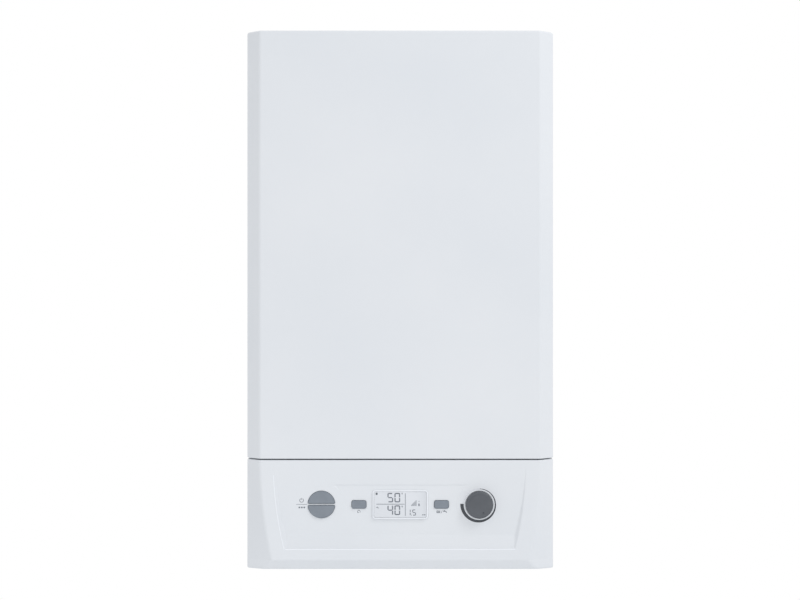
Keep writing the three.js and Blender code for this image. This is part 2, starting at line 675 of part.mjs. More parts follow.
function makeSidePanel(side, name) {
  const notchY = HINGE_Y + NOTCH_DEPTH;
  const notchZ = HINGE_Z + NOTCH_RISE;
  const outline = [
    [-PANEL_BACK, 0], [-PANEL_BACK, CASE_H], [PANEL_Y, CASE_H], [PANEL_Y, notchZ], [notchY, notchZ],
    [notchY, 0],
  ];
  const inside = side * (HALF_W - SHEET);
  const web = prism('x', outline, Math.min(inside, side * HALF_W), Math.max(inside, side * HALF_W));
  const fold = block([side * (HALF_W - SHEET - FOLD), side * HALF_W], [PANEL_Y, PANEL_Y + SHEET],
    [HINGE_Z + FOLD, CASE_H - SHEET - GAP]);
  place(casing, name, coolWhite, join(web, fold));
}

function makeTopPanel() {
  const plate = block([-INNER_HALF, INNER_HALF], [PANEL_Y, -PANEL_BACK], [CASE_H - SHEET, CASE_H]);
  const folds = both((side) =>
    block([side * (INNER_HALF - SHEET), side * INNER_HALF], [PANEL_Y + SHEET + GAP, BACK_FACE - GAP],
      [CASE_H - FOLD, CASE_H]));
  const flue = rod('z', FLUE_HOLE_R, CASE_H - SHEET - PAST, CASE_H + PAST, LARGE_SIDES)
    .translate([0, FLUE_Y, 0]);
  place(casing, 'top_panel', coolWhite, cut(join(plate, ...folds), flue));
}

function makeBottomPlate() {
  const front = HINGE_Y + PLATE_LEAD;
  const plate = block([-INNER_HALF, INNER_HALF], [front, -PANEL_BACK], [0, SHEET]);
  const folds = both((side) =>
    block([side * (INNER_HALF - SHEET), side * INNER_HALF], [front, BACK_FACE - GAP], [0, FOLD]));
  const passes = [
    ...both((side) => [side * PIPE_OUTER_X, PIPE_Y, HEATING_R]),
    ...both((side) => [side * PIPE_INNER_X, PIPE_Y, WATER_R]),
    [0, PIPE_Y, GAS_R],
    [TRAP_X, TRAP_Y, SPIGOT_R],
    [FILL_X, FILL_Y, SHAFT_R],
  ];
  const holes = passes.map(([x, y, radius]) =>
    rod('z', radius + PASS_GAP, -PAST, SHEET + PAST).translate([x, y, 0]));
  const railSlot = block([-RAIL_W / 2 - PAST, RAIL_W / 2 + PAST], [BACK_FACE - GAP, 0],
    [-PAST, SHEET + PAST]);
  place(casing, 'bottom_plate', galvanised, cut(join(plate, ...folds), ...holes, railSlot));
}

function makeCoverRail() {
  const front = FRONT + FLANGE_DEPTH;
  const back = PANEL_Y - GAP;
  const high = RAIL_Z + RAIL_H;
  const ends = [-INNER_HALF, INNER_HALF];
  const rail = join(
    block(ends, [front, front + SHEET], [RAIL_Z, high]),
    block(ends, [front, back], [RAIL_Z, RAIL_Z + SHEET]),
    block(ends, [front, back], [high - SHEET, high]),
  );
  const holes = both((side) =>
    hole('y', STUD_R, GAP, front - PAST, front + SHEET + PAST)
      .translate([side * STUD_X, 0, RAIL_Z + RAIL_H / 2]));
  place(casing, 'cover_rail', galvanised, cut(rail, ...holes));
}

function coverOutline(inset, frontInset) {
  const side = HALF_W - inset;
  const flat = FLAT_HALF - inset * BEVEL_SHARE;
  return [
    [-side, RETURN_Y], [-side, BEVEL_Y + inset * BEVEL_SHARE + frontInset],
    [-flat, FRONT + inset + frontInset], [flat, FRONT + inset + frontInset],
    [side, BEVEL_Y + inset * BEVEL_SHARE + frontInset], [side, RETURN_Y],
  ];
}

function makeFrontCover() {
  const roundings = EDGE_STEPS.map((share) => {
    const angle = (share * Math.PI) / 2;
    const back = EDGE_ROUND * (1 - Math.cos(angle));
    return { z: CASE_H - EDGE_ROUND * (1 - Math.sin(angle)), outline: coverOutline(0, back) };
  });
  const outside = stack([{ z: COVER_BOTTOM, outline: coverOutline(0, 0) }, ...roundings]);
  const insideOutline = coverOutline(SHEET, 0).map(([x, y]) => [x, y === RETURN_Y ? RETURN_Y + PAST : y]);
  const inside = stack([
    { z: COVER_BOTTOM + SHEET, outline: insideOutline },
    { z: CASE_H - EDGE_ROUND, outline: insideOutline },
    { z: CASE_H - SHEET, outline: insideOutline.map(([x, y]) => [x, y < RETURN_Y ? y + EDGE_ROUND : y]) },
  ]);
  const openBottom = block([SHEET - HALF_W, HALF_W - SHEET], [FRONT + FLANGE_DEPTH, RETURN_Y + PAST],
    [COVER_BOTTOM - PAST, COVER_BOTTOM + SHEET + PAST]);
  const studs = both((side) =>
    rod('y', STUD_R, FRONT + SHEET / 2, FRONT + FLANGE_DEPTH + STUD_REACH)
      .translate([side * STUD_X, 0, RAIL_Z + RAIL_H / 2]));
  place(casing, 'front_cover', coolWhite, join(cut(outside, inside, openBottom), ...studs));
}

function makeFlueCollar() {
  const seat = CASE_H + GAP;
  const outer = COLLAR_R + COLLAR_WALL;
  const body = turned('z', [
    [COLLAR_R, CASE_H - COLLAR_DROP], [outer, CASE_H - COLLAR_DROP], [outer, seat],
    [outer + COLLAR_FLANGE, seat], [outer + COLLAR_FLANGE, seat + COLLAR_FLANGE_T],
    [outer, seat + COLLAR_FLANGE_T], [outer, CASE_H + COLLAR_RISE], [COLLAR_R, CASE_H + COLLAR_RISE],
  ]);
  place(casing, 'flue_collar', castAlloy, body, [0, FLUE_Y, 0]);
}

function makeHingeBracket(side, bracketName, pinName) {
  const heights = [HINGE_Z - ARM_HALF, HINGE_Z + ARM_HALF];
  const arm = block([side * ARM_X, side * (ARM_X + ARM_T)], [HINGE_Y - ARM_LEAD, HINGE_Y + ARM_REACH],
    heights);
  const foot = block([side * ARM_X, side * INNER_HALF], [HINGE_Y + FOOT_START, HINGE_Y + ARM_REACH],
    [heights[0], HINGE_Z + FOOT_RISE]);
  const relief = block([side * (INNER_HALF - FOLD / 4), side * HALF_W],
    [HINGE_Y - ARM_REACH, HINGE_Y + ARM_REACH + PAST], [-PAST, FOLD + GAP]);
  const bore = hole('x', PIN_R, GAP, -HALF_W, HALF_W).translate([0, HINGE_Y, HINGE_Z]);
  place(casing, bracketName, galvanised, cut(join(arm, foot.subtract(relief)), bore));
  const inner = ARM_X - PIN_LENGTH;
  const ends = [side * inner, side * (ARM_X + ARM_T)].sort((a, b) => a - b);
  const head = [side * inner, side * (inner + PAST)].sort((a, b) => a - b);
  const pin = join(rod('x', PIN_R, ...ends), rod('x', PIN_R + PIN_HEAD, ...head));
  place(casing, pinName, stainless, pin, [0, HINGE_Y, HINGE_Z]);
}

// ---------------------------------------------------------------- control box

function apronHalf(z) {
  const share = (FASCIA_TOP - Math.max(z, APRON_BOTTOM)) / (FASCIA_TOP - APRON_BOTTOM);
  return FLAT_HALF - APRON_NARROW * share ** APRON_CURVE;
}

function recessHalf(z) {
  return HALF_W - RECESS_SIDE - RECESS_NARROW * ((FASCIA_TOP - z) / RECESS_SPAN) ** 2;
}

// Depth of the recessed panel: none at the seam, most at the knee, then a ramp forward to a small sill.
function recessDepth(z) {
  const upper = RECESS_DEPTH * (Math.max(FASCIA_TOP - z, 0) / (FASCIA_TOP - RECESS_KNEE)) ** RECESS_CURVE;
  const sillTop = RECESS_BOTTOM + SILL_HEIGHT;
  if (z < sillTop) {
    return SILL_DEPTH * THREE.MathUtils.clamp((z - RECESS_BOTTOM) / SILL_HEIGHT, 0, 1);
  }
  const ramp = SILL_DEPTH + ((RECESS_DEPTH - SILL_DEPTH) * (z - sillTop)) / (RECESS_KNEE - sillTop);
  const blend = THREE.MathUtils.smoothstep(z, RECESS_KNEE - KNEE_SOFT, RECESS_KNEE + KNEE_SOFT);
  return ramp * (1 - blend) + upper * blend;
}

function fasciaOutline(z, inset, deeper) {
  const share = Math.max(APRON_BOTTOM - z, 0) / APRON_BOTTOM;
  const half = apronHalf(z) + (CHIN_HALF - apronHalf(APRON_BOTTOM)) * share - inset * BEVEL_SHARE;
  const front = FRONT + CHIN_BACK * share + inset + deeper;
  const side = HALF_W - inset;
  const corner = Math.max(BEVEL_Y + inset * BEVEL_SHARE, front + GAP);
  return [
    [-side, RETURN_Y], [-side, corner], [-half, front], [half, front], [side, corner], [side, RETURN_Y],
  ];
}

function recessOutline(z) {
  const depth = Math.max(recessDepth(z), LEAST_RECESS);
  const half = recessHalf(z);
  return [
    [half + GAP, FRONT - PAST], [half, FRONT], [half - depth, FRONT + depth],
    [depth - half, FRONT + depth], [-half, FRONT], [-half - GAP, FRONT - PAST],
  ];
}

// Half disc with its flat side at the given height above the centre, as (z, x) points.
function moonOutline(radius, flat, up) {
  const start = Math.asin(flat / radius);
  return range(MOON_STEPS + 1).map((i) => {
    const angle = start + ((Math.PI - 2 * start) * i) / MOON_STEPS;
    return [up * radius * Math.sin(angle), up * radius * Math.cos(angle)];
  });
}

function makeFascia() {
  const lowLevels = [RECESS_BOTTOM, RECESS_BOTTOM + SILL_HEIGHT, RECESS_KNEE - KNEE_SOFT, RECESS_KNEE];
  const highLevels = levels(RECESS_KNEE + KNEE_SOFT, FASCIA_TOP - PLASTIC, FACE_STEP);
  const outsideLevels = [0, ...levels(APRON_BOTTOM, FASCIA_TOP, FACE_STEP)];
  const outside = stack(outsideLevels.map((z) => ({ z, outline: fasciaOutline(z, 0, 0) })));
  const inside = stack([PLASTIC, APRON_BOTTOM, ...lowLevels, ...highLevels].map((z) => ({
    z,
    outline: fasciaOutline(z, PLASTIC, recessDepth(z))
      .map(([x, y]) => [x, y === RETURN_Y ? RETURN_Y + PAST : y]),
  })));
  const openTop = block([PLASTIC - HALF_W, HALF_W - PLASTIC], [FRONT + FLANGE_DEPTH, RETURN_Y + PAST],
    [FASCIA_TOP - PLASTIC - PAST, FASCIA_TOP + PAST]);
  const openBottom = block([-HALF_W - PAST, HALF_W + PAST], [HINGE_Y - ARM_LEAD - PASS_GAP, RETURN_Y + PAST],
    [-PAST, PLASTIC + GAP]);
  const recessLevels = [...lowLevels, ...levels(RECESS_KNEE + KNEE_SOFT, FASCIA_TOP + PAST, FACE_STEP)];
  const recess = stack(recessLevels.map((z) => ({ z, outline: recessOutline(z) })));

  const behind = CONTROL_Y + HUB_END;
  const glass = (grow) => rounded([CONTROL_Z - LCD_H / 2 - grow, CONTROL_Z + LCD_H / 2 + grow],
    [-LCD_W / 2 - grow, LCD_W / 2 + grow], LCD_ROUND + Math.max(grow - GAP, 0));
  const lcdRim = prism('y', glass(BEZEL), CONTROL_Y - BEZEL_RISE, CONTROL_Y + RIM_DEPTH);
  const knobSeat = rod('y', RING_R + GAP, SEAT_Y, CONTROL_Y + RIM_DEPTH, LARGE_SIDES)
    .translate([KNOB_X, 0, CONTROL_Z]);
  const shell = join(cut(outside, inside, openTop, openBottom, recess), lcdRim, knobSeat);
  const lcdHole = prism('y', glass(GAP), FRONT - PAST, behind);
  const knobHole = rod('y', KNOB_HOLE_R, FRONT - PAST, behind).translate([KNOB_X, 0, CONTROL_Z]);
  const keyHole = rounded([-KEY_H / 2 - GAP, KEY_H / 2 + GAP], [-KEY_W / 2 - GAP, KEY_W / 2 + GAP],
    KEY_ROUND);
  const keys = both((side) =>
    prism('y', keyHole, FRONT - PAST, behind).translate([side * KEY_X, 0, CONTROL_Z]));
  const moons = both((up) =>
    prism('y', moonOutline(MOON_R + GAP, MOON_BAR / 2, up), FRONT - PAST, behind)
      .translate([MOON_X, 0, CONTROL_Z]));
  place(controlBox, 'control_fascia', coolWhite, cut(shell, lcdHole, knobHole, ...keys, ...moons));
}

function makeButtons() {
  const front = CONTROL_Y - PROUD;
  const lipBack = front + BUTTON_DEPTH - STEM_END;
  const lipFront = lipBack - LIP_T;
  const stem = (z) =>
    block([-STEM_HALF, STEM_HALF], [lipBack - PAST, front + BUTTON_DEPTH], [z - STEM_HALF, z + STEM_HALF]);
  const moon = (up, name) => {
    const cap = prism('y', moonOutline(MOON_R, MOON_BAR / 2 + GAP, up), front, lipBack);
    const lip = prism('y', moonOutline(MOON_R + BUTTON_LIP, MOON_BAR / 2 + GAP, up), lipFront, lipBack);
    place(controlBox, name, greyButton, join(cap, lip, stem(up * STEM_OFF)), [MOON_X, 0, CONTROL_Z]);
  };
  const key = (side, name) => {
    const [tall, wide] = [KEY_H / 2, KEY_W / 2];
    const cap = prism('y', rounded([-tall, tall], [-wide, wide], KEY_ROUND), front, lipBack);
    const lip = block([-wide - BUTTON_LIP, wide + BUTTON_LIP], [lipFront, lipBack],
      [-tall - BUTTON_LIP, tall + BUTTON_LIP]);
    place(controlBox, name, greyButton, join(cap, lip, stem(0)), [side * KEY_X, 0, CONTROL_Z]);
  };
  moon(1, 'power_button');
  moon(-1, 'mode_button');
  key(-1, 'reset_button');
  key(1, 'select_button');
}

function makeDisplay() {
  const front = CONTROL_Y - BEZEL_RISE + GLASS_SET;
  const window = prism('y', rounded([-LCD_H / 2, LCD_H / 2], [-LCD_W / 2, LCD_W / 2], LCD_ROUND),
    front, front + GLASS_T);
  place(controlBox, 'lcd_window', displayGlass, window, [0, 0, CONTROL_Z]);
  const moduleHalf = [LCD_W / 2 - MODULE_INSET[0], LCD_H / 2 - MODULE_INSET[1]];
  const module = block([-moduleHalf[0], moduleHalf[0]], [front + GLASS_T + GAP, BOARD_FRONT - GAP],
    [-moduleHalf[1], moduleHalf[1]]);
  place(controlBox, 'lcd_module', whitePlastic, module, [0, 0, CONTROL_Z]);
  const switchFront = CONTROL_Y - PROUD + BUTTON_DEPTH + BUTTON_TRAVEL + GAP;
  const board = block([-DISPLAY_BOARD_HALF, DISPLAY_BOARD_HALF], [BOARD_FRONT, BOARD_FRONT + BOARD_T],
    [-DISPLAY_BOARD_H / 2, DISPLAY_BOARD_H / 2]);
  const switches = [[MOON_X, STEM_OFF], [MOON_X, -STEM_OFF], [-KEY_X, 0], [KEY_X, 0]].map(([x, z]) =>
    block([x - STEM_HALF, x + STEM_HALF], [switchFront, BOARD_FRONT + BOARD_T / 2],
      [z - STEM_HALF, z + STEM_HALF]));
  place(controlBox, 'display_board', circuitGreen, join(board, ...switches), [0, 0, CONTROL_Z]);
}

function makeKnob() {
  const back = SEAT_Y - GAP;
  const front = SEAT_Y - KNOB_OUT;
  const hubEnd = CONTROL_Y + HUB_END;
  const shaftFront = front + KNOB_FACE_T + GAP;
  const encoderFront = hubEnd + 2 * GAP;
  const knob = turned('y', [
    [0, front + DISH], [KNOB_R - KNOB_RIM, front], [KNOB_R - EDGE_SOFT, front + GAP],
    [KNOB_R - EDGE_SOFT / 3, front + EDGE_SOFT], [KNOB_R, back], [KNOB_HUB_R, back], [KNOB_HUB_R, hubEnd],
    [0, hubEnd],
  ], KNOB_SIDES);
  const bore = hole('y', ENCODER_R, RUN, front + KNOB_FACE_T, hubEnd + PAST);
  const dimple = rod('y', DIMPLE_R, front - PAST, front + DIMPLE_DEPTH)
    .translate([POINTER_R * Math.sin(POINTER_ANGLE), 0, POINTER_R * Math.cos(POINTER_ANGLE)]);
  place(controlBox, 'rotary_knob', knobGrey, cut(knob, bore, dimple), [KNOB_X, 0, CONTROL_Z]);
  const ring = tube('y', RING_R, KNOB_R + RUN, back - RING_T, back, KNOB_SIDES);
  place(controlBox, 'knob_ring', whitePlastic, ring, [KNOB_X, 0, CONTROL_Z]);
  const encoder = join(
    block([-ENCODER_HALF, ENCODER_HALF], [encoderFront, BOARD_FRONT - GAP], [-ENCODER_HALF, ENCODER_HALF]),
    rod('y', ENCODER_R, shaftFront, encoderFront + PAST),
  );
  place(controlBox, 'knob_encoder', stainless, encoder, [KNOB_X, 0, CONTROL_Z]);
}

// Ways cut through the tray's ears for the hinge pins: narrow round the pin, wide round its head.
function pinWay(side) {
  const earInner = ARM_X - GAP;
  const wideEnd = ARM_X - PIN_LENGTH + PAST + GAP;
  const clear = hole('x', PIN_R, GAP, wideEnd - PAST, earInner + PAST).translate([0, HINGE_Y, HINGE_Z]);
  const wide = hole('x', PIN_R + PIN_HEAD, GAP, TRAY_HALF - LUG_ROOT, wideEnd)
    .translate([0, HINGE_Y, HINGE_Z]);
  const way = join(clear, wide);
  return side > 0 ? way : way.mirror([1, 0, 0]);
}

function makeTray() {
  const front = FRONT + TRAY_FRONT;
  const back = FRONT + TRAY_BACK;
  const lidFront = back - PLASTIC;
  const body = block([-TRAY_HALF, TRAY_HALF], [front, lidFront - GAP], [TRAY_BOTTOM, TRAY_TOP]);
  const hollow = block([PLASTIC - TRAY_HALF, TRAY_HALF - PLASTIC], [front + PLASTIC, lidFront + PAST],
    [TRAY_BOTTOM + PLASTIC, TRAY_TOP - PLASTIC]);
  const pads = both((side) => both((up) =>
    block([side * PAD_X - PAD_HALF, side * PAD_X + PAD_HALF], [BOARD_FRONT + BOARD_T + GAP, front + PAST],
      [CONTROL_Z + up * PAD_Z - PAD_HALF, CONTROL_Z + up * PAD_Z + PAD_HALF]))).flat();
  const posts = both((side) => MAIN_BOARD_ENDS.map((end, i) => {
    const z = end + POST_INSET[1] * (i === 0 ? 1 : -1);
    return rod('y', POST_R, front + PAST, MAIN_BOARD_Y - GAP, FEW_SIDES)
      .translate([side * (MAIN_BOARD_HALF - POST_INSET[0]), 0, z]);
  })).flat();
  const ears = both((side) =>
    block([side * (TRAY_HALF - PASS_GAP), side * (ARM_X - GAP)], [HINGE_Y - ARM_LEAD, HINGE_Y + ARM_LEAD],
      [PLASTIC + 2 * GAP, TRAY_BOTTOM + PASS_GAP]));
  const lugs = both((side) =>
    block([side * (TRAY_HALF - PAST), side * (HALF_W - PLASTIC - GAP)],
      [HINGE_Y - LUG_LEAD, HINGE_Y - BOARD_LIFT], [LUG_Z, LUG_Z + LUG_H]));
  const tray = cut(join(cut(body, hollow), ...pads, ...posts, ...ears, ...lugs), ...both(pinWay));
  place(controlBox, 'control_tray', blackPlastic, tray);

  const lid = block([-TRAY_HALF, TRAY_HALF], [lidFront, back], [TRAY_BOTTOM, TRAY_TOP]);
  const glandPlace = [TRAY_HALF - GLAND_SIDE, 0, TRAY_TOP - GLAND_DROP];
  const gland = tube('y', GLAND_R, GLAND_BORE, back - PAST, back + GLAND_OUT).translate(glandPlace);
  const glandHole = rod('y', GLAND_BORE, lidFront - PAST, back + GLAND_OUT + PAST).translate(glandPlace);
  const earSlots = both((side) =>
    block([side * (TRAY_HALF - LUG_ROOT - PAST), side * (TRAY_HALF + PAST)], [lidFront - PAST, back + PAST],
      [0, TRAY_BOTTOM + LUG_ROOT]));
  place(controlBox, 'tray_lid', blackPlastic, cut(join(lid, gland), glandHole, ...earSlots));

  const [low, high] = MAIN_BOARD_ENDS;
  const board = block([-MAIN_BOARD_HALF, MAIN_BOARD_HALF], [MAIN_BOARD_Y, MAIN_BOARD_Y + BOARD_T],
    [low, high]);
  const parts = BOARD_PARTS.map(([x, drop, width, height, rise]) =>
    block([x - width / 2, x + width / 2], [MAIN_BOARD_Y - rise, MAIN_BOARD_Y + BOARD_T / 2],
      [high - drop - height / 2, high - drop + height / 2]));
  place(controlBox, 'main_board', circuitGreen, join(board, ...parts));
}

// ---------------------------------------------------------------- heat cell, about the exchanger's axis

function makeExchanger() {
  const flangeR = CELL_R + CELL_FLANGE;
  const innerR = CELL_R - CELL_WALL;
  const shell = turned('y', [
    [0, CELL_REAR], [CELL_R, CELL_REAR], [CELL_R, CELL_FRONT + CELL_WALL], [flangeR, CELL_FRONT + CELL_WALL],
    [flangeR, CELL_FRONT], [innerR, CELL_FRONT], [innerR, CELL_REAR - CELL_WALL], [0, CELL_REAR - CELL_WALL],
  ]);
  const upright = (radius, from, to, sides, x, y) => rod('z', radius, from, to, sides).translate([x, y, 0]);
  const socketTop = CELL_R + SOCKET_RISE;
  const socketStep = CELL_R + SOCKET_STEP;
  const socketR = FLUE_R + SOCKET_WALL;
  const socket = upright(socketR, CELL_R - 2 * CELL_WALL, socketTop, LARGE_SIDES, 0, FLUE_Y);
  const socketBore = hole('z', FLUE_R, GAP, socketStep, socketTop + PAST, LARGE_SIDES)
    .translate([0, FLUE_Y, 0]);
  const gasWay = upright(FLUE_R - TUBE_WALL, CELL_R - SADDLE_DROP, socketStep + PAST, LARGE_SIDES, 0, FLUE_Y);
  const drainLow = -CELL_R - DRAIN_LENGTH;
  const drainBoreR = DRAIN_R - TUBE_WALL;
  const drain = upright(DRAIN_R, drainLow, -SPIGOT_END, SMALL_SIDES, DRAIN_X, DRAIN_Y);
  const drainBore = upright(drainBoreR, drainLow - PAST, -SPIGOT_ROOT, SMALL_SIDES, DRAIN_X, DRAIN_Y);
  const spigots = both((side) =>
    upright(SPIGOT_R, -SPIGOT_END, -SPIGOT_ROOT, SMALL_SIDES, side * RISER_X, RISER_Y));
  const spigotBores = both((side) =>
    upright(SPIGOT_R - TUBE_WALL, -SPIGOT_END - PAST, TUBE_WALL - SPIGOT_ROOT, SMALL_SIDES,
      side * RISER_X, RISER_Y));
  const inside = rod('y', innerR, CELL_FRONT - PAST, CELL_REAR - CELL_WALL, LARGE_SIDES);
  const outer = cut(join(shell, socket, drain, ...spigots), inside);
  place(heatCell, 'exchanger_shell', castAlloy, cut(outer, socketBore, gasWay, drainBore, ...spigotBores));

  const coilR = innerR - GAP;
  const coilFront = CELL_FRONT + CELL_WALL;
  const coilBack = CELL_REAR - CELL_WALL - GAP;
  const pitch = (coilBack - coilFront) / COIL_TURNS;
  const ribs = range(COIL_TURNS).flatMap((turn) => {
    const start = coilFront + turn * pitch;
    return [[coilR - RIB_DEPTH, start], [coilR, start + pitch / 5], [coilR, start + (pitch * 4) / 5]];
  });
  const profile = [[COIL_BORE, coilFront], ...ribs, [coilR - RIB_DEPTH, coilBack], [COIL_BORE, coilBack]];
  place(heatCell, 'exchanger_coil', castAlloy, turned('y', profile));

  const plateTop = -CELL_R - GAP;
  const plateLow = plateTop - SADDLE_T;
  const front = CELL_FRONT + CELL_WALL + SADDLE_INSET;
  const back = CELL_REAR - SADDLE_INSET;
  const width = [-INNER_HALF, INNER_HALF];
  const plate = block(width, [front, back], [plateLow, plateTop]);
  const folds = [[front, front + SADDLE_T], [back - SADDLE_T, back]].map((depth) =>
    block(width, depth, [plateTop - SADDLE_FOLD, plateTop]));
  const ends = both((side) =>
    block([side * (INNER_HALF - SADDLE_T), side * INNER_HALF], [front, back],
      [plateTop - SADDLE_DROP, plateTop]));
  const [under, over] = [plateLow - PAST, plateTop + PAST];
  const drainHole = upright(DRAIN_R + TUBE_WALL, under, over, SMALL_SIDES, DRAIN_X, DRAIN_Y);
  const riserHoles = both((side) =>
    upright(SPIGOT_R + TUBE_WALL, under, over, SMALL_SIDES, side * RISER_X, RISER_Y));
  const bracket = cut(join(plate, ...folds, ...ends), drainHole, ...riserHoles);
  place(heatCell, 'exchanger_bracket', galvanised, bracket, [-CELL_X, 0, 0]);
}

function makeBurner() {
  const doorBack = CELL_FRONT - GAP;
  const channelHalf = DUCT_HALF - DUCT_WALL;
  const disc = rod('y', CELL_R + CELL_FLANGE, DOOR_FRONT, doorBack, LARGE_SIDES);
  const duct = block([-DUCT_HALF, DUCT_HALF], [DUCT_FRONT, DOOR_FRONT + PAST], [-DUCT_DROP, DUCT_HALF]);
  const channel = block([-channelHalf, channelHalf], [DUCT_FRONT + DUCT_WALL, DOOR_FRONT - DUCT_WALL],
    [-DUCT_DROP - PAST, channelHalf]);
  const gasBore = rod('y', channelHalf - PAST, DOOR_FRONT - DUCT_WALL - PAST, doorBack + PAST, LARGE_SIDES);
  const sparkHole = hole('y', SPARK_R, GAP, DOOR_FRONT - PAST, doorBack + PAST)
    .translate([SPARK_OFF, 0, SPARK_OFF]);
  const door = cut(join(disc, duct), channel, gasBore, sparkHole);
  place(heatCell, 'burner_door', castAlloy, door);

  const end = CELL_REAR - BURNER_END;
  const flangeR = BURNER_R + BURNER_FLANGE;
  const boreR = BURNER_R - BURNER_WALL;
  const burner = turned('y', [
    [boreR, CELL_FRONT], [flangeR, CELL_FRONT], [flangeR, CELL_FRONT + BURNER_WALL],
    [BURNER_R, CELL_FRONT + BURNER_WALL], [BURNER_R, end], [0, end], [0, end - BURNER_WALL],
    [boreR, end - BURNER_WALL],
  ]);
  place(heatCell, 'burner_tube', stainless, burner);

  const ceramicBack = CELL_FRONT + RIB_DEPTH;
  const body = rod('y', SPARK_R, DOOR_FRONT - SPARK_OUT, ceramicBack);
  const wire = rod('y', PIPE_WALL, ceramicBack - PAST, ceramicBack + SPARK_WIRE, FEW_SIDES);
  place(heatCell, 'ignition_electrode', ceramic, join(body, wire), [SPARK_OFF, 0, SPARK_OFF]);
}

function makeFan() {
  const fan = new THREE.Group();
  fan.position.set(FAN_X - CELL_X, 0, FAN_Z - CELL_Z);
  heatCell.add(fan);
  const front = DUCT_FRONT;
  const back = DUCT_FRONT + FAN_DEPTH;
  const outlet = [CELL_X - FAN_X - DUCT_HALF, CELL_X - FAN_X + DUCT_HALF];
  const inner = FAN_R - FAN_WALL;
  const volute = join(
    rod('y', FAN_R, front, back, LARGE_SIDES),
    block(outlet, [front, back], [-BLADE_CLEAR, FAN_DROP]),
  );
  const hollow = join(
    rod('y', inner, front + FAN_WALL, back - FAN_WALL, LARGE_SIDES),
    block([outlet[0] + FAN_WALL, outlet[1] - FAN_WALL], [front + FAN_WALL, back - FAN_WALL - BLADE_CLEAR],
      [-PAST, FAN_DROP + PAST]),
  );
  const inlet = rod('y', MIXER_BORE, back - FAN_WALL - PAST, back + PAST, LARGE_SIDES);
  const shaftHole = hole('y', SHAFT_R, GAP, front - PAST, front + FAN_WALL + PAST);
  place(fan, 'fan_housing', castAlloy, cut(volute, hollow, inlet, shaftHole));

  const discFront = front + 2 * FAN_WALL;
  const motorBack = front - GAP;
  const motorFront = motorBack - MOTOR_DEPTH;
  const shaftFront = motorFront + SHAFT_REACH;
  const wheelR = inner - BLADE_CLEAR;
  const bladeEnd = back - 2 * FAN_WALL;
  const blades = range(BLADES).map((i) =>
    block([BLADE_START, wheelR], [discFront + PAST, bladeEnd], [-BLADE_T / 2, BLADE_T / 2])
      .rotate([0, (360 / BLADES) * i, 0]));
  const wheel = join(
    rod('y', wheelR, discFront, discFront + BLADE_T, LARGE_SIDES),
    rod('y', SHAFT_R, shaftFront, discFront + PAST),
    rod('y', HUB_R, discFront + PAST, bladeEnd - HUB_SHORT),
    ...blades,
  );
  place(fan, 'fan_impeller', blackPlastic, wheel);

  const bore = holeRadius(SHAFT_R, GAP, LARGE_SIDES);
  const motor = turned('y', [
    [bore, motorBack], [MOTOR_R, motorBack], [MOTOR_R, motorFront + FAN_WALL],
    [MOTOR_R - FAN_WALL, motorFront], [0, motorFront], [0, shaftFront - PAST], [bore, shaftFront - PAST],
  ]);
  place(fan, 'fan_motor', blackPlastic, motor);
  makeGasSide(fan);
}

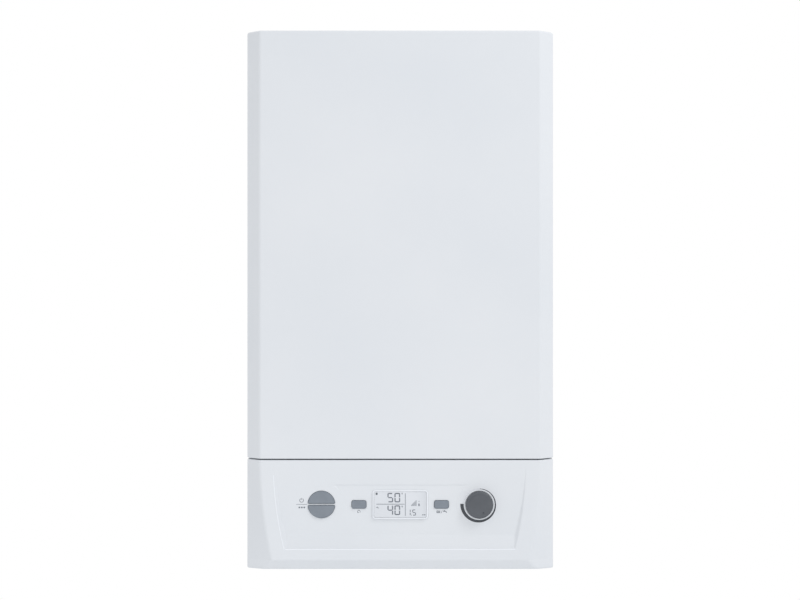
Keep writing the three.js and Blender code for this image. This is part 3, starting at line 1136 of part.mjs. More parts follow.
// What the fan draws in: air through the silencer, gas through the valve, both through the mixer.
function makeGasSide(fan) {
  const mixerBack = MIXER_FRONT + MIXER_DEPTH;
  const neckR = MIXER_R - MIXER_WALL;
  const mixer = turned('y', [
    [MIXER_BORE, MIXER_FRONT], [MIXER_R, MIXER_FRONT], [MIXER_R, MIXER_FRONT + MIXER_THROAT],
    [neckR, MIXER_FRONT + MIXER_THROAT + BOX_WALL], [neckR, mixerBack], [MIXER_BORE, mixerBack],
    [MIXER_BORE - MIXER_THROAT, GAS_Y],
  ]);
  const spigot = rod('x', GAS_SPIGOT_R, MIXER_BORE + PAST, GAS_SPIGOT_END).translate([0, GAS_Y, 0]);
  const spigotBore = rod('x', GAS_SPIGOT_R - TUBE_WALL, MIXER_BORE - GAS_SPIGOT_R, GAS_SPIGOT_END + PAST)
    .translate([0, GAS_Y, 0]);
  place(fan, 'gas_air_mixer', castAlloy, cut(join(mixer, spigot), spigotBore));

  const wallSide = INNER_HALF - FAN_X;
  const deep = [GAS_Y - GAS_BLOCK_DEEP, GAS_Y + GAS_BLOCK_DEEP];
  const inletX = GAS_VALVE_X + GAS_INLET_X;
  const [coilX, coilR, coilTop] = GAS_COIL;
  const [plugX, plugR, plugOut] = GAS_PLUG;
  const valve = join(
    block([GAS_VALVE_X, GAS_VALVE_X + GAS_BLOCK], deep, [-GAS_BLOCK_HALF, GAS_BLOCK_HALF]),
    rod('z', coilR, GAS_BLOCK_HALF - PAST, coilTop).translate([GAS_VALVE_X + coilX, GAS_Y, 0]),
    rod('y', plugR, deep[0] - plugOut, deep[0] + PAST).translate([GAS_VALVE_X + plugX, 0, GAS_SPIGOT_R]),
    rod('z', GAS_R + TUBE_WALL, -GAS_INLET_LOW, PAST - GAS_BLOCK_HALF).translate([inletX, GAS_Y, 0]),
    block([GAS_VALVE_X + GAS_BLOCK - PAST, wallSide], [GAS_Y - DRAIN_R, GAS_Y + DRAIN_R],
      [TUBE_WALL - GAS_BLOCK_HALF, GAS_BLOCK_HALF - TUBE_WALL]),
    block([wallSide - TUBE_WALL, wallSide], deep,
      [-GAS_BLOCK_HALF - MIXER_WALL, GAS_BLOCK_HALF + MIXER_WALL]),
  );
  const inletBore = rod('z', GAS_R - TUBE_WALL, -GAS_INLET_LOW - PAST, -GAS_BLOCK_HALF / 2)
    .translate([inletX, GAS_Y, 0]);
  place(fan, 'gas_valve', castAlloy, cut(valve, inletBore));

  const boxFront = mixerBack + GAP;
  const boxBack = boxFront + BOX_DEPTH;
  const silencer = block([-BOX_HALF, BOX_HALF], [boxFront, boxBack], [-BOX_HALF, BOX_TOP]);
  const inside = [BOX_WALL - BOX_HALF, BOX_HALF - BOX_WALL];
  const silencerHollow = block(inside, [boxFront + BOX_WALL, boxBack - BOX_WALL],
    [BOX_WALL - BOX_HALF, BOX_TOP - BOX_WALL]);
  const silencerInlet = block([-BOX_SLOT, BOX_SLOT], [boxFront + BOX_END, boxBack - BOX_END],
    [BOX_TOP - BOX_WALL - PAST, BOX_TOP + PAST]);
  const silencerOutlet = rod('y', MIXER_BORE, boxFront - PAST, boxFront + BOX_WALL + PAST, LARGE_SIDES);
  place(fan, 'air_silencer', blackPlastic, cut(silencer, silencerHollow, silencerInlet, silencerOutlet));
}

function makeVessel() {
  const back = BACK_FACE - GAP;
  const front = back - VESSEL_DEPTH;
  const middle = (front + back) / 2;
  const high = HOOK_TOP - VESSEL_DROP;
  const low = high - VESSEL_H;
  const half = VESSEL_HALF;
  const outline = (grow) =>
    rounded([low - grow, high + grow], [-half - grow, half + grow], VESSEL_ROUND + grow, 4);
  const port = (radius, from, to) => rod('z', radius, from, to).translate([VESSEL_PORT_X, middle, 0]);
  const body = join(
    prism('y', outline(0), front + VESSEL_CROWN, back - VESSEL_CROWN),
    prism('y', outline(-VESSEL_CROWN), front, back),
    prism('y', outline(VESSEL_SEAM), middle - VESSEL_WALL, middle + VESSEL_WALL),
    port(VESSEL_PORT_R, low - VESSEL_PORT_END, low + VESSEL_WALL),
  );
  const hollow = prism('y', outline(-VESSEL_CROWN - VESSEL_WALL), front + VESSEL_WALL, back - VESSEL_WALL);
  const bore = port(VESSEL_PORT_R - VESSEL_WALL, low - VESSEL_PORT_END - PAST, low + VESSEL_PORT_END);
  place(waterSide, 'expansion_vessel', vesselRed, cut(body, hollow, bore));
}

function makeFlueDuct() {
  const low = CELL_Z + CELL_R + SOCKET_STEP + PAST;
  const duct = tube('z', FLUE_R, FLUE_R - FLUE_WALL, low, CASE_H + COLLAR_RISE, LARGE_SIDES);
  place(casing, 'flue_duct', stainless, duct, [0, FLUE_Y, 0]);
}

// ---------------------------------------------------------------- water side

function manifoldBlock(side) {
  const xs = [side * BLOCK_IN, side * BLOCK_OUT];
  const body = block(xs, [BLOCK_FRONT, BLOCK_BACK], [BLOCK_LOW, BLOCK_HIGH]);
  const sockets = [[PIPE_OUTER_X, HEATING_R], [PIPE_INNER_X, WATER_R]].map(([x, radius]) =>
    hole('z', radius, GAP, BLOCK_LOW - PAST, BLOCK_LOW + SOCKET_DEPTH).translate([side * x, PIPE_Y, 0]));
  return cut(body, ...sockets);
}

function makeManifolds() {
  const left = manifoldBlock(-1);
  const spindleBore = hole('z', SPINDLE_R, RUN, BLOCK_HIGH - SPINDLE_BORE, BLOCK_HIGH + PAST)
    .translate([VALVE_X, PIPE_Y, 0]);
  place(waterSide, 'flow_manifold', composite, cut(left, spindleBore));

  const right = manifoldBlock(1);
  const reliefZ = (BLOCK_LOW + BLOCK_HIGH) / 2;
  const reliefEnd = BLOCK_FRONT - RELIEF_LENGTH;
  const relief = rod('y', RELIEF_R, reliefEnd, BLOCK_FRONT + PAST).translate([RELIEF_X, 0, reliefZ]);
  const reliefBore = hole('y', SHAFT_R, RUN, reliefEnd - PAST, reliefEnd + RELIEF_KNOB)
    .translate([RELIEF_X, 0, reliefZ]);
  const fillBore = hole('z', SHAFT_R, RUN, BLOCK_LOW - PAST, BLOCK_LOW + SOCKET_DEPTH)
    .translate([FILL_X, FILL_Y, 0]);
  const pumpWay = rod('z', WATER_BORE, BLOCK_HIGH - FOOT_HALF, BLOCK_HIGH + PAST)
    .translate([PUMP_X, PIPE_Y, 0]);
  place(waterSide, 'return_manifold', composite, cut(right.add(relief), reliefBore, fillBore, pumpWay));

  const knobBack = reliefEnd - GAP;
  const reliefKnob = join(
    rod('y', RELIEF_R + NUT_WALL, knobBack - RELIEF_KNOB, knobBack, FEW_SIDES),
    rod('y', SHAFT_R, knobBack - PAST, knobBack + RELIEF_STEM),
  );
  place(waterSide, 'safety_knob', vesselRed, reliefKnob, [RELIEF_X, 0, reliefZ]);

  const fillKnob = join(
    rod('z', FILL_KNOB_R, FILL_KNOB_TOP - RELIEF_KNOB, FILL_KNOB_TOP, FEW_SIDES),
    rod('z', SHAFT_R, FILL_KNOB_TOP - PAST, BLOCK_LOW + SOCKET_DEPTH - TUBE_WALL),
  );
  place(waterSide, 'filling_knob', tapBlue, fillKnob, [FILL_X, FILL_Y, 0]);
}

function makePump() {
  const pump = new THREE.Group();
  pump.position.set(PUMP_X, 0, PUMP_Z);
  waterSide.add(pump);
  const upright = (radius, from, to, x, sides) => rod('z', radius, from, to, sides).translate([x, PIPE_Y, 0]);
  const chamberBack = PUMP_BACK - PUMP_WALL;
  const volute = rod('y', PUMP_R, PUMP_FRONT, PUMP_BACK, LARGE_SIDES);
  const foot = block([-FOOT_HALF, FOOT_HALF], [PIPE_Y - FOOT_HALF, PIPE_Y + FOOT_HALF],
    [GAP - PUMP_RISE, -PORT_ROOT]);
  const outlet = upright(OUTLET_R, PORT_ROOT, OUTLET_TOP, OUTLET_X);
  const vent = join(upright(VENT_R, PORT_ROOT, VENT_TOP, VENT_X),
    upright(VENT_CAP_R, VENT_TOP - PAST, VENT_TOP + VENT_CAP, VENT_X, FEW_SIDES));
  const chamber = rod('y', PUMP_R - PUMP_WALL, PUMP_FRONT - PAST, chamberBack, LARGE_SIDES);
  const outletWay = upright(WATER_BORE, PORT_ROOT - WATER_BORE, OUTLET_TOP + PAST, OUTLET_X);
  const inletWay = upright(WATER_BORE, -PUMP_RISE, PAST - PORT_ROOT, 0);
  place(pump, 'pump_housing', castAlloy, cut(join(volute, foot, outlet, vent), chamber, outletWay, inletWay));

  const motorBack = PUMP_FRONT - GAP;
  const motorFront = motorBack - PUMP_MOTOR_DEPTH;
  const shaftFront = motorBack - PUMP_SHAFT;
  const wheelR = PUMP_R - PUMP_WALL - WHEEL_CLEAR;
  const wheelBack = chamberBack - PUMP_WALL;
  const discFront = wheelBack - WHEEL_T;
  const vanes = range(PUMP_VANES).map((i) =>
    block([OUTLET_R, wheelR - BLADE_T], [discFront - WHEEL_T, discFront + PAST], [-BLADE_T / 2, BLADE_T / 2])
      .rotate([0, (360 / PUMP_VANES) * i, 0]));
  const wheel = join(
    rod('y', wheelR, discFront, wheelBack, LARGE_SIDES),
    rod('y', SHAFT_R, shaftFront, discFront + PAST),
    ...vanes,
  );
  place(pump, 'pump_impeller', blackPlastic, wheel);

  const bore = holeRadius(SHAFT_R, GAP, LARGE_SIDES);
  const boreEnd = shaftFront - BLADE_T;
  const motor = turned('y', [
    [bore, motorBack], [PUMP_R, motorBack], [PUMP_R, motorBack - MOTOR_STEP],
    [PUMP_MOTOR_R, motorBack - MOTOR_STEP],
    [PUMP_MOTOR_R, motorFront + WHEEL_CLEAR], [PUMP_MOTOR_R - WHEEL_CLEAR, motorFront], [0, motorFront],
    [0, boreEnd], [bore, boreEnd],
  ]);
  const terminals = block([-TERMINAL_HALF, TERMINAL_HALF],
    [motorFront + TERMINAL_INSET, motorBack - 2 * MOTOR_STEP], [TERMINAL_LOW, TERMINAL_TOP]);
  place(pump, 'pump_motor', blackPlastic, motor.add(terminals));
}

function makeDiverter() {
  const half = VALVE_MOTOR_W / 2;
  const seat = BLOCK_HIGH + GAP;
  const spindleTop = seat + SPINDLE_IN;
  const plugHalf = half - VALVE_PLUG_INSET;
  const motor = join(
    block([-half, half], [PIPE_Y - half, PIPE_Y + half], [seat, seat + VALVE_MOTOR_H]),
    block([-plugHalf, plugHalf], [PIPE_Y - half - VALVE_PLUG, PIPE_Y - half + PAST],
      [seat + VALVE_PLUG_ENDS[0], seat + VALVE_PLUG_ENDS[1]]),
  );
  const bore = hole('z', SPINDLE_R, RUN, seat - PAST, spindleTop + NUT_WALL).translate([0, PIPE_Y, 0]);
  place(waterSide, 'diverter_motor', blackPlastic, cut(motor, bore), [VALVE_X, 0, 0]);
  const low = BLOCK_HIGH - SPINDLE_BORE + SPINDLE_TRAVEL + SPINDLE_FREE;
  place(waterSide, 'diverter_spindle', stainless, rod('z', SPINDLE_R, low, spindleTop), [VALVE_X, PIPE_Y, 0]);
}

function makePlates() {
  const low = BLOCK_HIGH + GAP;
  const high = low + PLATES_H;
  const core = block([PLATES_LEFT, PLATES_RIGHT], [PLATES_FRONT + PLATES_INSET, PLATES_BACK - PLATES_INSET],
    [low + PLATES_INSET, high - PLATES_INSET]);
  const covers = [[low, low + PLATES_COVER], [high - PLATES_COVER, high]].map((ends) =>
    block([PLATES_LEFT, PLATES_RIGHT], [PLATES_FRONT, PLATES_BACK], ends));
  place(waterSide, 'plate_exchanger', stainless, join(core, ...covers));
}

function connection(name, finish, x, radius) {
  const top = BLOCK_LOW + SOCKET_DEPTH - GAP;
  const nutR = radius + NUT_WALL;
  const body = turned('z', [
    [radius - PIPE_WALL, -PIPE_BELOW], [radius, -PIPE_BELOW], [radius, NUT_LOW], [nutR, NUT_LOW],
    [nutR, NUT_HIGH], [radius, NUT_HIGH], [radius, top], [radius - PIPE_WALL, top],
  ], SMALL_SIDES);
  place(waterSide, name, finish, body, [x, PIPE_Y, 0]);
}

function makePipes() {
  connection('heating_flow_pipe', copper, -PIPE_OUTER_X, HEATING_R);
  connection('hot_water_pipe', copper, -PIPE_INNER_X, WATER_R);
  connection('cold_water_pipe', copper, PIPE_INNER_X, WATER_R);
  connection('heating_return_pipe', copper, PIPE_OUTER_X, HEATING_R);

  const gasX = FAN_X + GAS_VALVE_X + GAS_INLET_X;
  const gasTop = FAN_Z - GAS_INLET_LOW - GAP;
  const gasBend = PLATES_FRONT - GAS_PLATES_GAP;
  const gas = pipe([
    [0, PIPE_Y, -PIPE_BELOW], [0, PIPE_Y, 0], [0, PIPE_Y - PUMP_WALL, BLOCK_LOW],
    [0, (PIPE_Y + gasBend) / 2 - 2 * GAS_R + TUBE_WALL, (BLOCK_LOW + BLOCK_HIGH) / 2 + PUMP_WALL],
    [0, gasBend, BLOCK_HIGH + 2 * GAS_R], [0, gasBend, PUMP_Z], [OUTLET_X, gasBend - GAS_R, gasTop - PUMP_R],
    [gasX / 2, (gasBend + GAS_Y) / 2, gasTop - BOX_SLOT], [gasX - 2 * GAS_R, GAS_Y, gasTop - BOX_SLOT],
    [gasX, GAS_Y, gasTop - SOCKET_DEPTH], [gasX, GAS_Y, gasTop],
  ], GAS_R, PIPE_WALL, LONG_STEPS);
  place(waterSide, 'gas_pipe', copper, gas);

  const shellLow = CELL_Z - SPIGOT_END - GAP;
  const bend = shellLow - 2 * PUMP_MOTOR_R - BOX_SLOT;
  const footX = RISER_FOOT_X;
  const footY = BLOCK_FRONT + RISER_FOOT;
  const flow = pipe([
    [-RISER_X, RISER_Y, shellLow], [-RISER_X, RISER_Y, shellLow - BOX_SLOT],
    [-RISER_X - PUMP_WALL, RISER_Y - RIB_DEPTH, bend], [-footX, footY, (bend + BLOCK_HIGH) / 2 + PIPE_BELOW],
    [-footX, footY, BLOCK_HIGH + PUMP_MOTOR_R], [-footX, footY, BLOCK_HIGH + GAP],
  ], RISER_R, PIPE_WALL, BENT_STEPS);
  place(waterSide, 'flow_riser', copper, flow);

  const outletX = PUMP_X + OUTLET_X;
  const outletTop = PUMP_Z + OUTLET_TOP + GAP;
  const back = pipe([
    [outletX, PIPE_Y, outletTop], [outletX, PIPE_Y, outletTop + BOX_SLOT],
    [PUMP_X, PIPE_Y - RIB_DEPTH, (outletTop + shellLow) / 2 - SOCKET_STEP],
    [RISER_X + PUMP_WALL, RISER_Y, shellLow - PUMP_MOTOR_R], [RISER_X, RISER_Y, shellLow - NUT_HIGH],
    [RISER_X, RISER_Y, shellLow],
  ], RISER_R, PIPE_WALL, BENT_STEPS);
  place(waterSide, 'return_riser', copper, back);
}

function makeTrap() {
  const spoutLow = CELL_Z - CELL_R - DRAIN_LENGTH - GAP;
  const rimR = TRAP_R + TRAP_RIM;
  const [rimLow, rimHigh] = [TRAP_TOP - 2 * DRAIN_R, TRAP_TOP - RIB_DEPTH];
  const cup = turned('z', [
    [0, TRAP_LOW], [TRAP_R - NUT_WALL, TRAP_LOW], [TRAP_R, TRAP_LOW + SOCKET_STEP], [TRAP_R, rimLow],
    [rimR, rimLow], [rimR, rimHigh], [TRAP_R - RIB_DEPTH, TRAP_TOP], [0, TRAP_TOP],
  ], TRAP_SIDES);
  const drain = rod('z', SPIGOT_R, -DRAIN_BELOW, TRAP_LOW + SOCKET_STEP);
  const drainBore = rod('z', SPIGOT_R - BOX_WALL, -DRAIN_BELOW - PAST, TRAP_LOW - NUT_WALL);
  const across = [CELL_X + DRAIN_X - TRAP_X, DRAIN_Y - TRAP_Y];
  const tubeIn = pipe([
    [0, 0, TRAP_TOP - SOCKET_STEP], [0, 0, TRAP_TOP + TRAP_R],
    [across[0] / 4, across[1] / 8, TRAP_TOP + PUMP_R * 2],
    [across[0] - RIB_DEPTH, across[1], spoutLow - TRAP_SIDE], [...across, spoutLow - NUT_HIGH],
    [...across, spoutLow],
  ], SPIGOT_R, BOX_WALL, BENT_STEPS);
  const trap = cut(join(cup, drain, tubeIn), drainBore);
  place(waterSide, 'condensate_trap', whitePlastic, trap, [TRAP_X, TRAP_Y, 0]);
}

makeBackFrame();
makeWallBracket();
makeSidePanel(-1, 'side_panel_left');
makeSidePanel(1, 'side_panel_right');
makeTopPanel();
makeBottomPlate();
makeCoverRail();
makeFrontCover();
makeFlueCollar();
makeHingeBracket(-1, 'hinge_bracket_left', 'hinge_pin_left');
makeHingeBracket(1, 'hinge_bracket_right', 'hinge_pin_right');
makeFascia();
makeButtons();
makeDisplay();
makeKnob();
makeTray();
makeExchanger();
makeBurner();
makeFan();
makeVessel();
makeFlueDuct();
makeManifolds();
makePump();
makeDiverter();
makePlates();
makePipes();
makeTrap();

export default boiler;
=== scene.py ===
# %% [markdown]
# # A wall-hung combi boiler
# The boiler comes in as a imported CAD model: every panel, pipe and motor stands at its real size and place, in
# metres, with +Z up and the wall behind it at y = 0. This script never moves those parts. It dresses them: it
# gives each one a finish, and rebuilds the ones that need rounder edges or finer detail than the CAD has.

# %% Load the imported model
import json
import math

import bmesh
import bpy
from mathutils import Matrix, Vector
from mathutils.geometry import delaunay_2d_cdt


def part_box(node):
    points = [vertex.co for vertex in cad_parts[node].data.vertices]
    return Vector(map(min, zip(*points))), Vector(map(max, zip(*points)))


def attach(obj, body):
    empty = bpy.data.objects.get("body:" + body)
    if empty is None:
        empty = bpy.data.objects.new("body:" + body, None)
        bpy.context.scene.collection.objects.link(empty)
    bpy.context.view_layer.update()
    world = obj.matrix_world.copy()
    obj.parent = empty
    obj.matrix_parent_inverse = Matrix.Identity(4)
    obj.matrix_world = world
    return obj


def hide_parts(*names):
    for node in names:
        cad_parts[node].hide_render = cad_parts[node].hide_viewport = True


MM = 0.001
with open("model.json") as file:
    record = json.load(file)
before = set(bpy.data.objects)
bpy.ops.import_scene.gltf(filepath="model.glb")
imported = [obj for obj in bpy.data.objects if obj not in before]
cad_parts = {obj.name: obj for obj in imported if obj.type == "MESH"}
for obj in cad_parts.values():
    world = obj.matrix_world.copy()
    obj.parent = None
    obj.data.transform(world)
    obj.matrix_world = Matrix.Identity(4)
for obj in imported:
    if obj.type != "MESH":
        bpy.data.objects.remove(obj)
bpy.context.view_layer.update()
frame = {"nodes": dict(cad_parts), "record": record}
nodes = frame["nodes"]

# %% [markdown]
# ## Camera
# The photograph looks straight at the boiler from about two metres, level with the middle of the casing. A
# camera placed there, with the lens worked out from how many pixels one millimetre of the front covers, gives
# the same slight perspective on the bevelled sides.

# %% Camera
LENS, DISTANCE, HEIGHT, ASIDE = 69.38, 2.3, 0.35, -0.26 * MM
camera_data = bpy.data.cameras.new("photo_camera")
camera_data.sensor_width = 36.0
camera_data.lens = LENS
camera = bpy.data.objects.new("photo_camera", camera_data)
camera.location = (ASIDE, -DISTANCE, HEIGHT)
camera.rotation_euler = (math.pi / 2, 0, 0)
bpy.context.scene.collection.objects.link(camera)
bpy.context.scene.camera = camera
bpy.context.scene.view_settings.view_transform = "Standard"
print("camera at", tuple(camera.location), "lens", camera_data.lens)

# %% [markdown]
# ## Floor and backdrop
# The boiler hangs in the air, so the floor lies well below it, out of the photograph's frame, and only
# catches a soft shadow. The backdrop is the world itself. A Light Path node keeps two things apart: the
# camera and mirror-like rays see plain white, while the rays that light the object see a slightly dimmer,
# cooler sky.

# %% Floor and world
FLOOR_Z = -0.6
FLOOR_HALF = 2.4


def screen_colour(red, green, blue):
    """A colour as a screen shows it, 0 to 255, as the linear colour that shaders mix."""

    def linear(value):
        value /= 255
        return value / 12.92 if value <= 0.04045 else ((value + 0.055) / 1.055) ** 2.4

    return (linear(red), linear(green), linear(blue), 1.0)


floor_mesh = bpy.data.meshes.new("floor")
corners = [(-1, -1), (1, -1), (1, 1), (-1, 1)]
floor_mesh.from_pydata([(x * FLOOR_HALF, y * FLOOR_HALF, FLOOR_Z) for x, y in corners], [], [(0, 1, 2, 3)])
floor = bpy.data.objects.new("floor", floor_mesh)
bpy.context.scene.collection.objects.link(floor)
floor_paint = bpy.data.materials.new("floor_paint")
floor_paint.use_nodes = True
floor_shader = floor_paint.node_tree.nodes["Principled BSDF"]
floor_shader.inputs["Base Color"].default_value = screen_colour(245, 246, 247)
floor_shader.inputs["Roughness"].default_value = 0.9
floor_mesh.materials.append(floor_paint)

world = bpy.data.worlds.new("studio")
bpy.context.scene.world = world
world.use_nodes = True
sky, sky_links = world.node_tree.nodes, world.node_tree.links
ambient = sky["Background"]
ambient.inputs["Color"].default_value = (0.985, 0.99, 1.0, 1.0)
ambient.inputs["Strength"].default_value = 0.775
white = sky.new("ShaderNodeBackground")
white.inputs["Color"].default_value = (1.0, 1.0, 1.0, 1.0)
rays = sky.new("ShaderNodeLightPath")
seen = sky.new("ShaderNodeMath")
seen.operation = "MAXIMUM"
seen_through = sky.new("ShaderNodeMath")
seen_through.operation = "MAXIMUM"
choose = sky.new("ShaderNodeMixShader")
sky_links.new(rays.outputs["Is Camera Ray"], seen.inputs[0])
sky_links.new(rays.outputs["Is Glossy Ray"], seen.inputs[1])
sky_links.new(seen.outputs[0], seen_through.inputs[0])
sky_links.new(rays.outputs["Is Transmission Ray"], seen_through.inputs[1])
sky_links.new(seen_through.outputs[0], choose.inputs["Fac"])
sky_links.new(ambient.outputs[0], choose.inputs[1])
sky_links.new(white.outputs[0], choose.inputs[2])
sky_links.new(choose.outputs[0], sky["World Output"].inputs["Surface"])
print("floor at", FLOOR_Z, "and a white backdrop")

# %% [markdown]
# ## Lamps
# One big soft lamp stands to the upper right, so the right bevel is the lightest face, the left bevel the
# darkest, and a thin bright line runs down the bend on the right. A weak lamp from the lower left keeps the
# shaded side from going flat.

# %% Lamps
BOILER_CENTRE = Vector((0, -0.15, 0.35))


def soft_lamp(name, place, width, height, watts):
    """A rectangular area lamp that faces the boiler."""
    data = bpy.data.lights.new(name, "AREA")
    data.shape = "RECTANGLE"
    data.size, data.size_y, data.energy = width, height, watts
    lamp = bpy.data.objects.new(name, data)
    lamp.location = place
    lamp.rotation_euler = (BOILER_CENTRE - Vector(place)).to_track_quat("-Z", "Y").to_euler()
    bpy.context.scene.collection.objects.link(lamp)
    return lamp


key_lamp = soft_lamp("key_lamp", (1.6, -1.6, 2.2), 0.8, 1.2, 19.0)
fill_lamp = soft_lamp("fill_lamp", (-0.4, -2.0, -0.5), 1.0, 1.0, 4.0)
print("lamps:", key_lamp.name, fill_lamp.name)

# %% [markdown]
# ## Finishes
# A real surface is never one flat colour. Each finish here starts from two close shades mixed by noise, lets
# the same noise vary the gloss, and adds a fine bump for the grain of the material. Noise sizes are given as
# the size of one blotch or grain on the object, so they read like a ruler.

# %% A general finish
def new_material(name, roughness, metallic=0.0):
    """An empty Principled material, with its node tree's parts."""
    material = bpy.data.materials.new(name)
    material.use_nodes = True
    tree = material.node_tree
    shader = tree.nodes["Principled BSDF"]
    shader.inputs["Roughness"].default_value = roughness
    shader.inputs["Metallic"].default_value = metallic
    return material, tree.nodes, tree.links, shader


def object_noise(tree_nodes, links, size, detail=3.0, stretch=(1, 1, 1)):
    """Noise whose blotches are about `size` metres, fixed to the object."""
    place = tree_nodes.new("ShaderNodeTexCoord")
    scale = tree_nodes.new("ShaderNodeMapping")
    scale.inputs["Scale"].default_value = stretch
    noise = tree_nodes.new("ShaderNodeTexNoise")
    noise.inputs["Scale"].default_value = 1 / size
    noise.inputs["Detail"].default_value = detail
    links.new(place.outputs["Object"], scale.inputs["Vector"])
    links.new(scale.outputs["Vector"], noise.inputs["Vector"])
    return noise


def two_shades(tree_nodes, links, source, dark, light, low=0.3, high=0.7):
    """A colour ramp from dark to light, driven by a grey output."""
    ramp = tree_nodes.new("ShaderNodeValToRGB")
    ramp.color_ramp.elements[0].position, ramp.color_ramp.elements[0].color = low, dark
    ramp.color_ramp.elements[1].position, ramp.color_ramp.elements[1].color = high, light
    links.new(source, ramp.inputs["Fac"])
    return ramp


def spread_roughness(tree_nodes, links, shader, source, low, high):
    """Lets a grey output vary the roughness between two values."""
    spread = tree_nodes.new("ShaderNodeMapRange")
    spread.inputs["To Min"].default_value = low
    spread.inputs["To Max"].default_value = high
    links.new(source, spread.inputs["Value"])
    links.new(spread.outputs["Result"], shader.inputs["Roughness"])


def add_grain(tree_nodes, links, shader, source, depth, strength):
    """Turns a grey output into a bump of that depth."""
    bump = tree_nodes.new("ShaderNodeBump")
    bump.inputs["Distance"].default_value = depth
    bump.inputs["Strength"].default_value = strength
    links.new(source, bump.inputs["Height"])
    links.new(bump.outputs["Normal"], shader.inputs["Normal"])


def mottled(
    name, dark, light, blotch, roughness, grain, depth, metallic=0.0, strength=0.5, stretch=(1, 1, 1),
):
    """A finish of two close shades, with uneven gloss and a fine grain."""
    material, tree_nodes, links, shader = new_material(name, sum(roughness) / 2, metallic)
    blotches = object_noise(tree_nodes, links, blotch, 4.0, stretch)
    shades = two_shades(tree_nodes, links, blotches.outputs["Fac"], dark, light)
    links.new(shades.outputs["Color"], shader.inputs["Base Color"])
    spread_roughness(tree_nodes, links, shader, blotches.outputs["Fac"], *roughness)
    grains = object_noise(tree_nodes, links, grain, 2.0, stretch)
    add_grain(tree_nodes, links, shader, grains.outputs["Fac"], depth, strength)
    return material, shader


# %% [markdown]
# ## White paint and white plastic
# The cover is steel with a satin powder coat, which dries with a fine orange-peel skin. The control panel is
# moulded plastic in the same white, with a finer, tighter grain. Both get a thin clear coat: on the shader it
# gives the soft sheen along the bends without making the flat faces glossy.

# %% White finishes
case_paint, shader = mottled(
    "case_paint", screen_colour(225, 229, 234), screen_colour(230, 233, 237), 0.25,
    (0.34, 0.42), 0.9 * MM, 0.02 * MM,
)
shader.inputs["Coat Weight"].default_value = 0.25
shader.inputs["Coat Roughness"].default_value = 0.18
fascia_plastic, shader = mottled(
    "fascia_plastic", screen_colour(225, 229, 234), screen_colour(230, 233, 237), 0.2,
    (0.36, 0.44), 0.4 * MM, 0.01 * MM,
)
shader.inputs["Coat Weight"].default_value = 0.2
shader.inputs["Coat Roughness"].default_value = 0.2
# A brighter white than the panel, used as painted highlight: it stands in for the light that the display's rim
# and the recess edge catch.
highlight_paint, shader = mottled(
    "highlight_paint", screen_colour(242, 246, 252), screen_colour(245, 248, 253), 30 * MM,
    (0.3, 0.4), 0.4 * MM, 0.004 * MM,
)
trap_plastic, shader = mottled(
    "trap_plastic", screen_colour(206, 209, 208), screen_colour(216, 218, 217), 40 * MM,
    (0.4, 0.52), 0.5 * MM, 0.02 * MM,
)
ceramic_glaze, shader = mottled(
    "ceramic_glaze", screen_colour(230, 226, 214), screen_colour(240, 237, 228), 12 * MM,
    (0.2, 0.35), 0.4 * MM, 0.01 * MM,
)
print("white finishes:", case_paint.name, fascia_plastic.name, highlight_paint.name, ceramic_glaze.name)

# %% [markdown]
# ## Metals
# Galvanised sheet shows spangle, the flat zinc crystals, so its shades come from a Voronoi pattern, one shade
# per cell. Cast alloy is dull and pebbly, stainless steel is brushed, which is noise stretched along one
# direction, and drawn copper darkens in clouds as it oxidises.

# %% Metal finishes
def spangled(name, dark, light, crystal):
    """Galvanised sheet: one shade for each zinc crystal."""
    material, tree_nodes, links, shader = new_material(name, 0.42, 0.85)
    place = tree_nodes.new("ShaderNodeTexCoord")
    crystals = tree_nodes.new("ShaderNodeTexVoronoi")
    crystals.inputs["Scale"].default_value = 1 / crystal
    links.new(place.outputs["Object"], crystals.inputs["Vector"])
    grey = tree_nodes.new("ShaderNodeRGBToBW")
    links.new(crystals.outputs["Color"], grey.inputs["Color"])
    shades = two_shades(tree_nodes, links, grey.outputs["Val"], dark, light, 0.1, 0.9)
    links.new(shades.outputs["Color"], shader.inputs["Base Color"])
    spread_roughness(tree_nodes, links, shader, grey.outputs["Val"], 0.34, 0.52)
    dust = object_noise(tree_nodes, links, 1.5 * MM, 3.0)
    add_grain(tree_nodes, links, shader, dust.outputs["Fac"], 0.02 * MM, 0.4)
    return material


galvanised = spangled("galvanised", screen_colour(168, 174, 179), screen_colour(192, 197, 201), 9 * MM)
cast_alloy, shader = mottled(
    "cast_alloy", screen_colour(150, 154, 157), screen_colour(176, 179, 181), 14 * MM,
    (0.5, 0.68), 1.1 * MM, 0.12 * MM, metallic=0.75, strength=0.7,
)
stainless, shader = mottled(
    "stainless", screen_colour(188, 192, 194), screen_colour(206, 209, 211), 30 * MM,
    (0.22, 0.34), 0.5 * MM, 0.01 * MM, metallic=1.0, strength=0.6, stretch=(1, 1, 0.04),
)
copper, shader = mottled(
    "copper", screen_colour(158, 92, 62), screen_colour(196, 128, 96), 26 * MM,
    (0.24, 0.4), 0.8 * MM, 0.01 * MM, metallic=1.0,
)
brass, shader = mottled(
    "brass", screen_colour(176, 148, 92), screen_colour(204, 178, 122), 12 * MM,
    (0.28, 0.42), 0.8 * MM, 0.02 * MM, metallic=1.0,
)
zinc_steel, shader = mottled(
    "zinc_steel", screen_colour(150, 153, 156), screen_colour(182, 185, 188), 5 * MM,
    (0.28, 0.42), 0.5 * MM, 0.01 * MM, metallic=1.0,
)
print("metal finishes:", galvanised.name, cast_alloy.name, stainless.name, copper.name, brass.name)

# %% [markdown]
# ## Plastics, enamel and boards
# Moulded black and grey plastics differ mostly in gloss and grain. The expansion vessel is stove-enamelled
# red, glossier than the cover. The boards are solder mask over copper, so a brick pattern of thin lines under
# the green stands for the tracks.

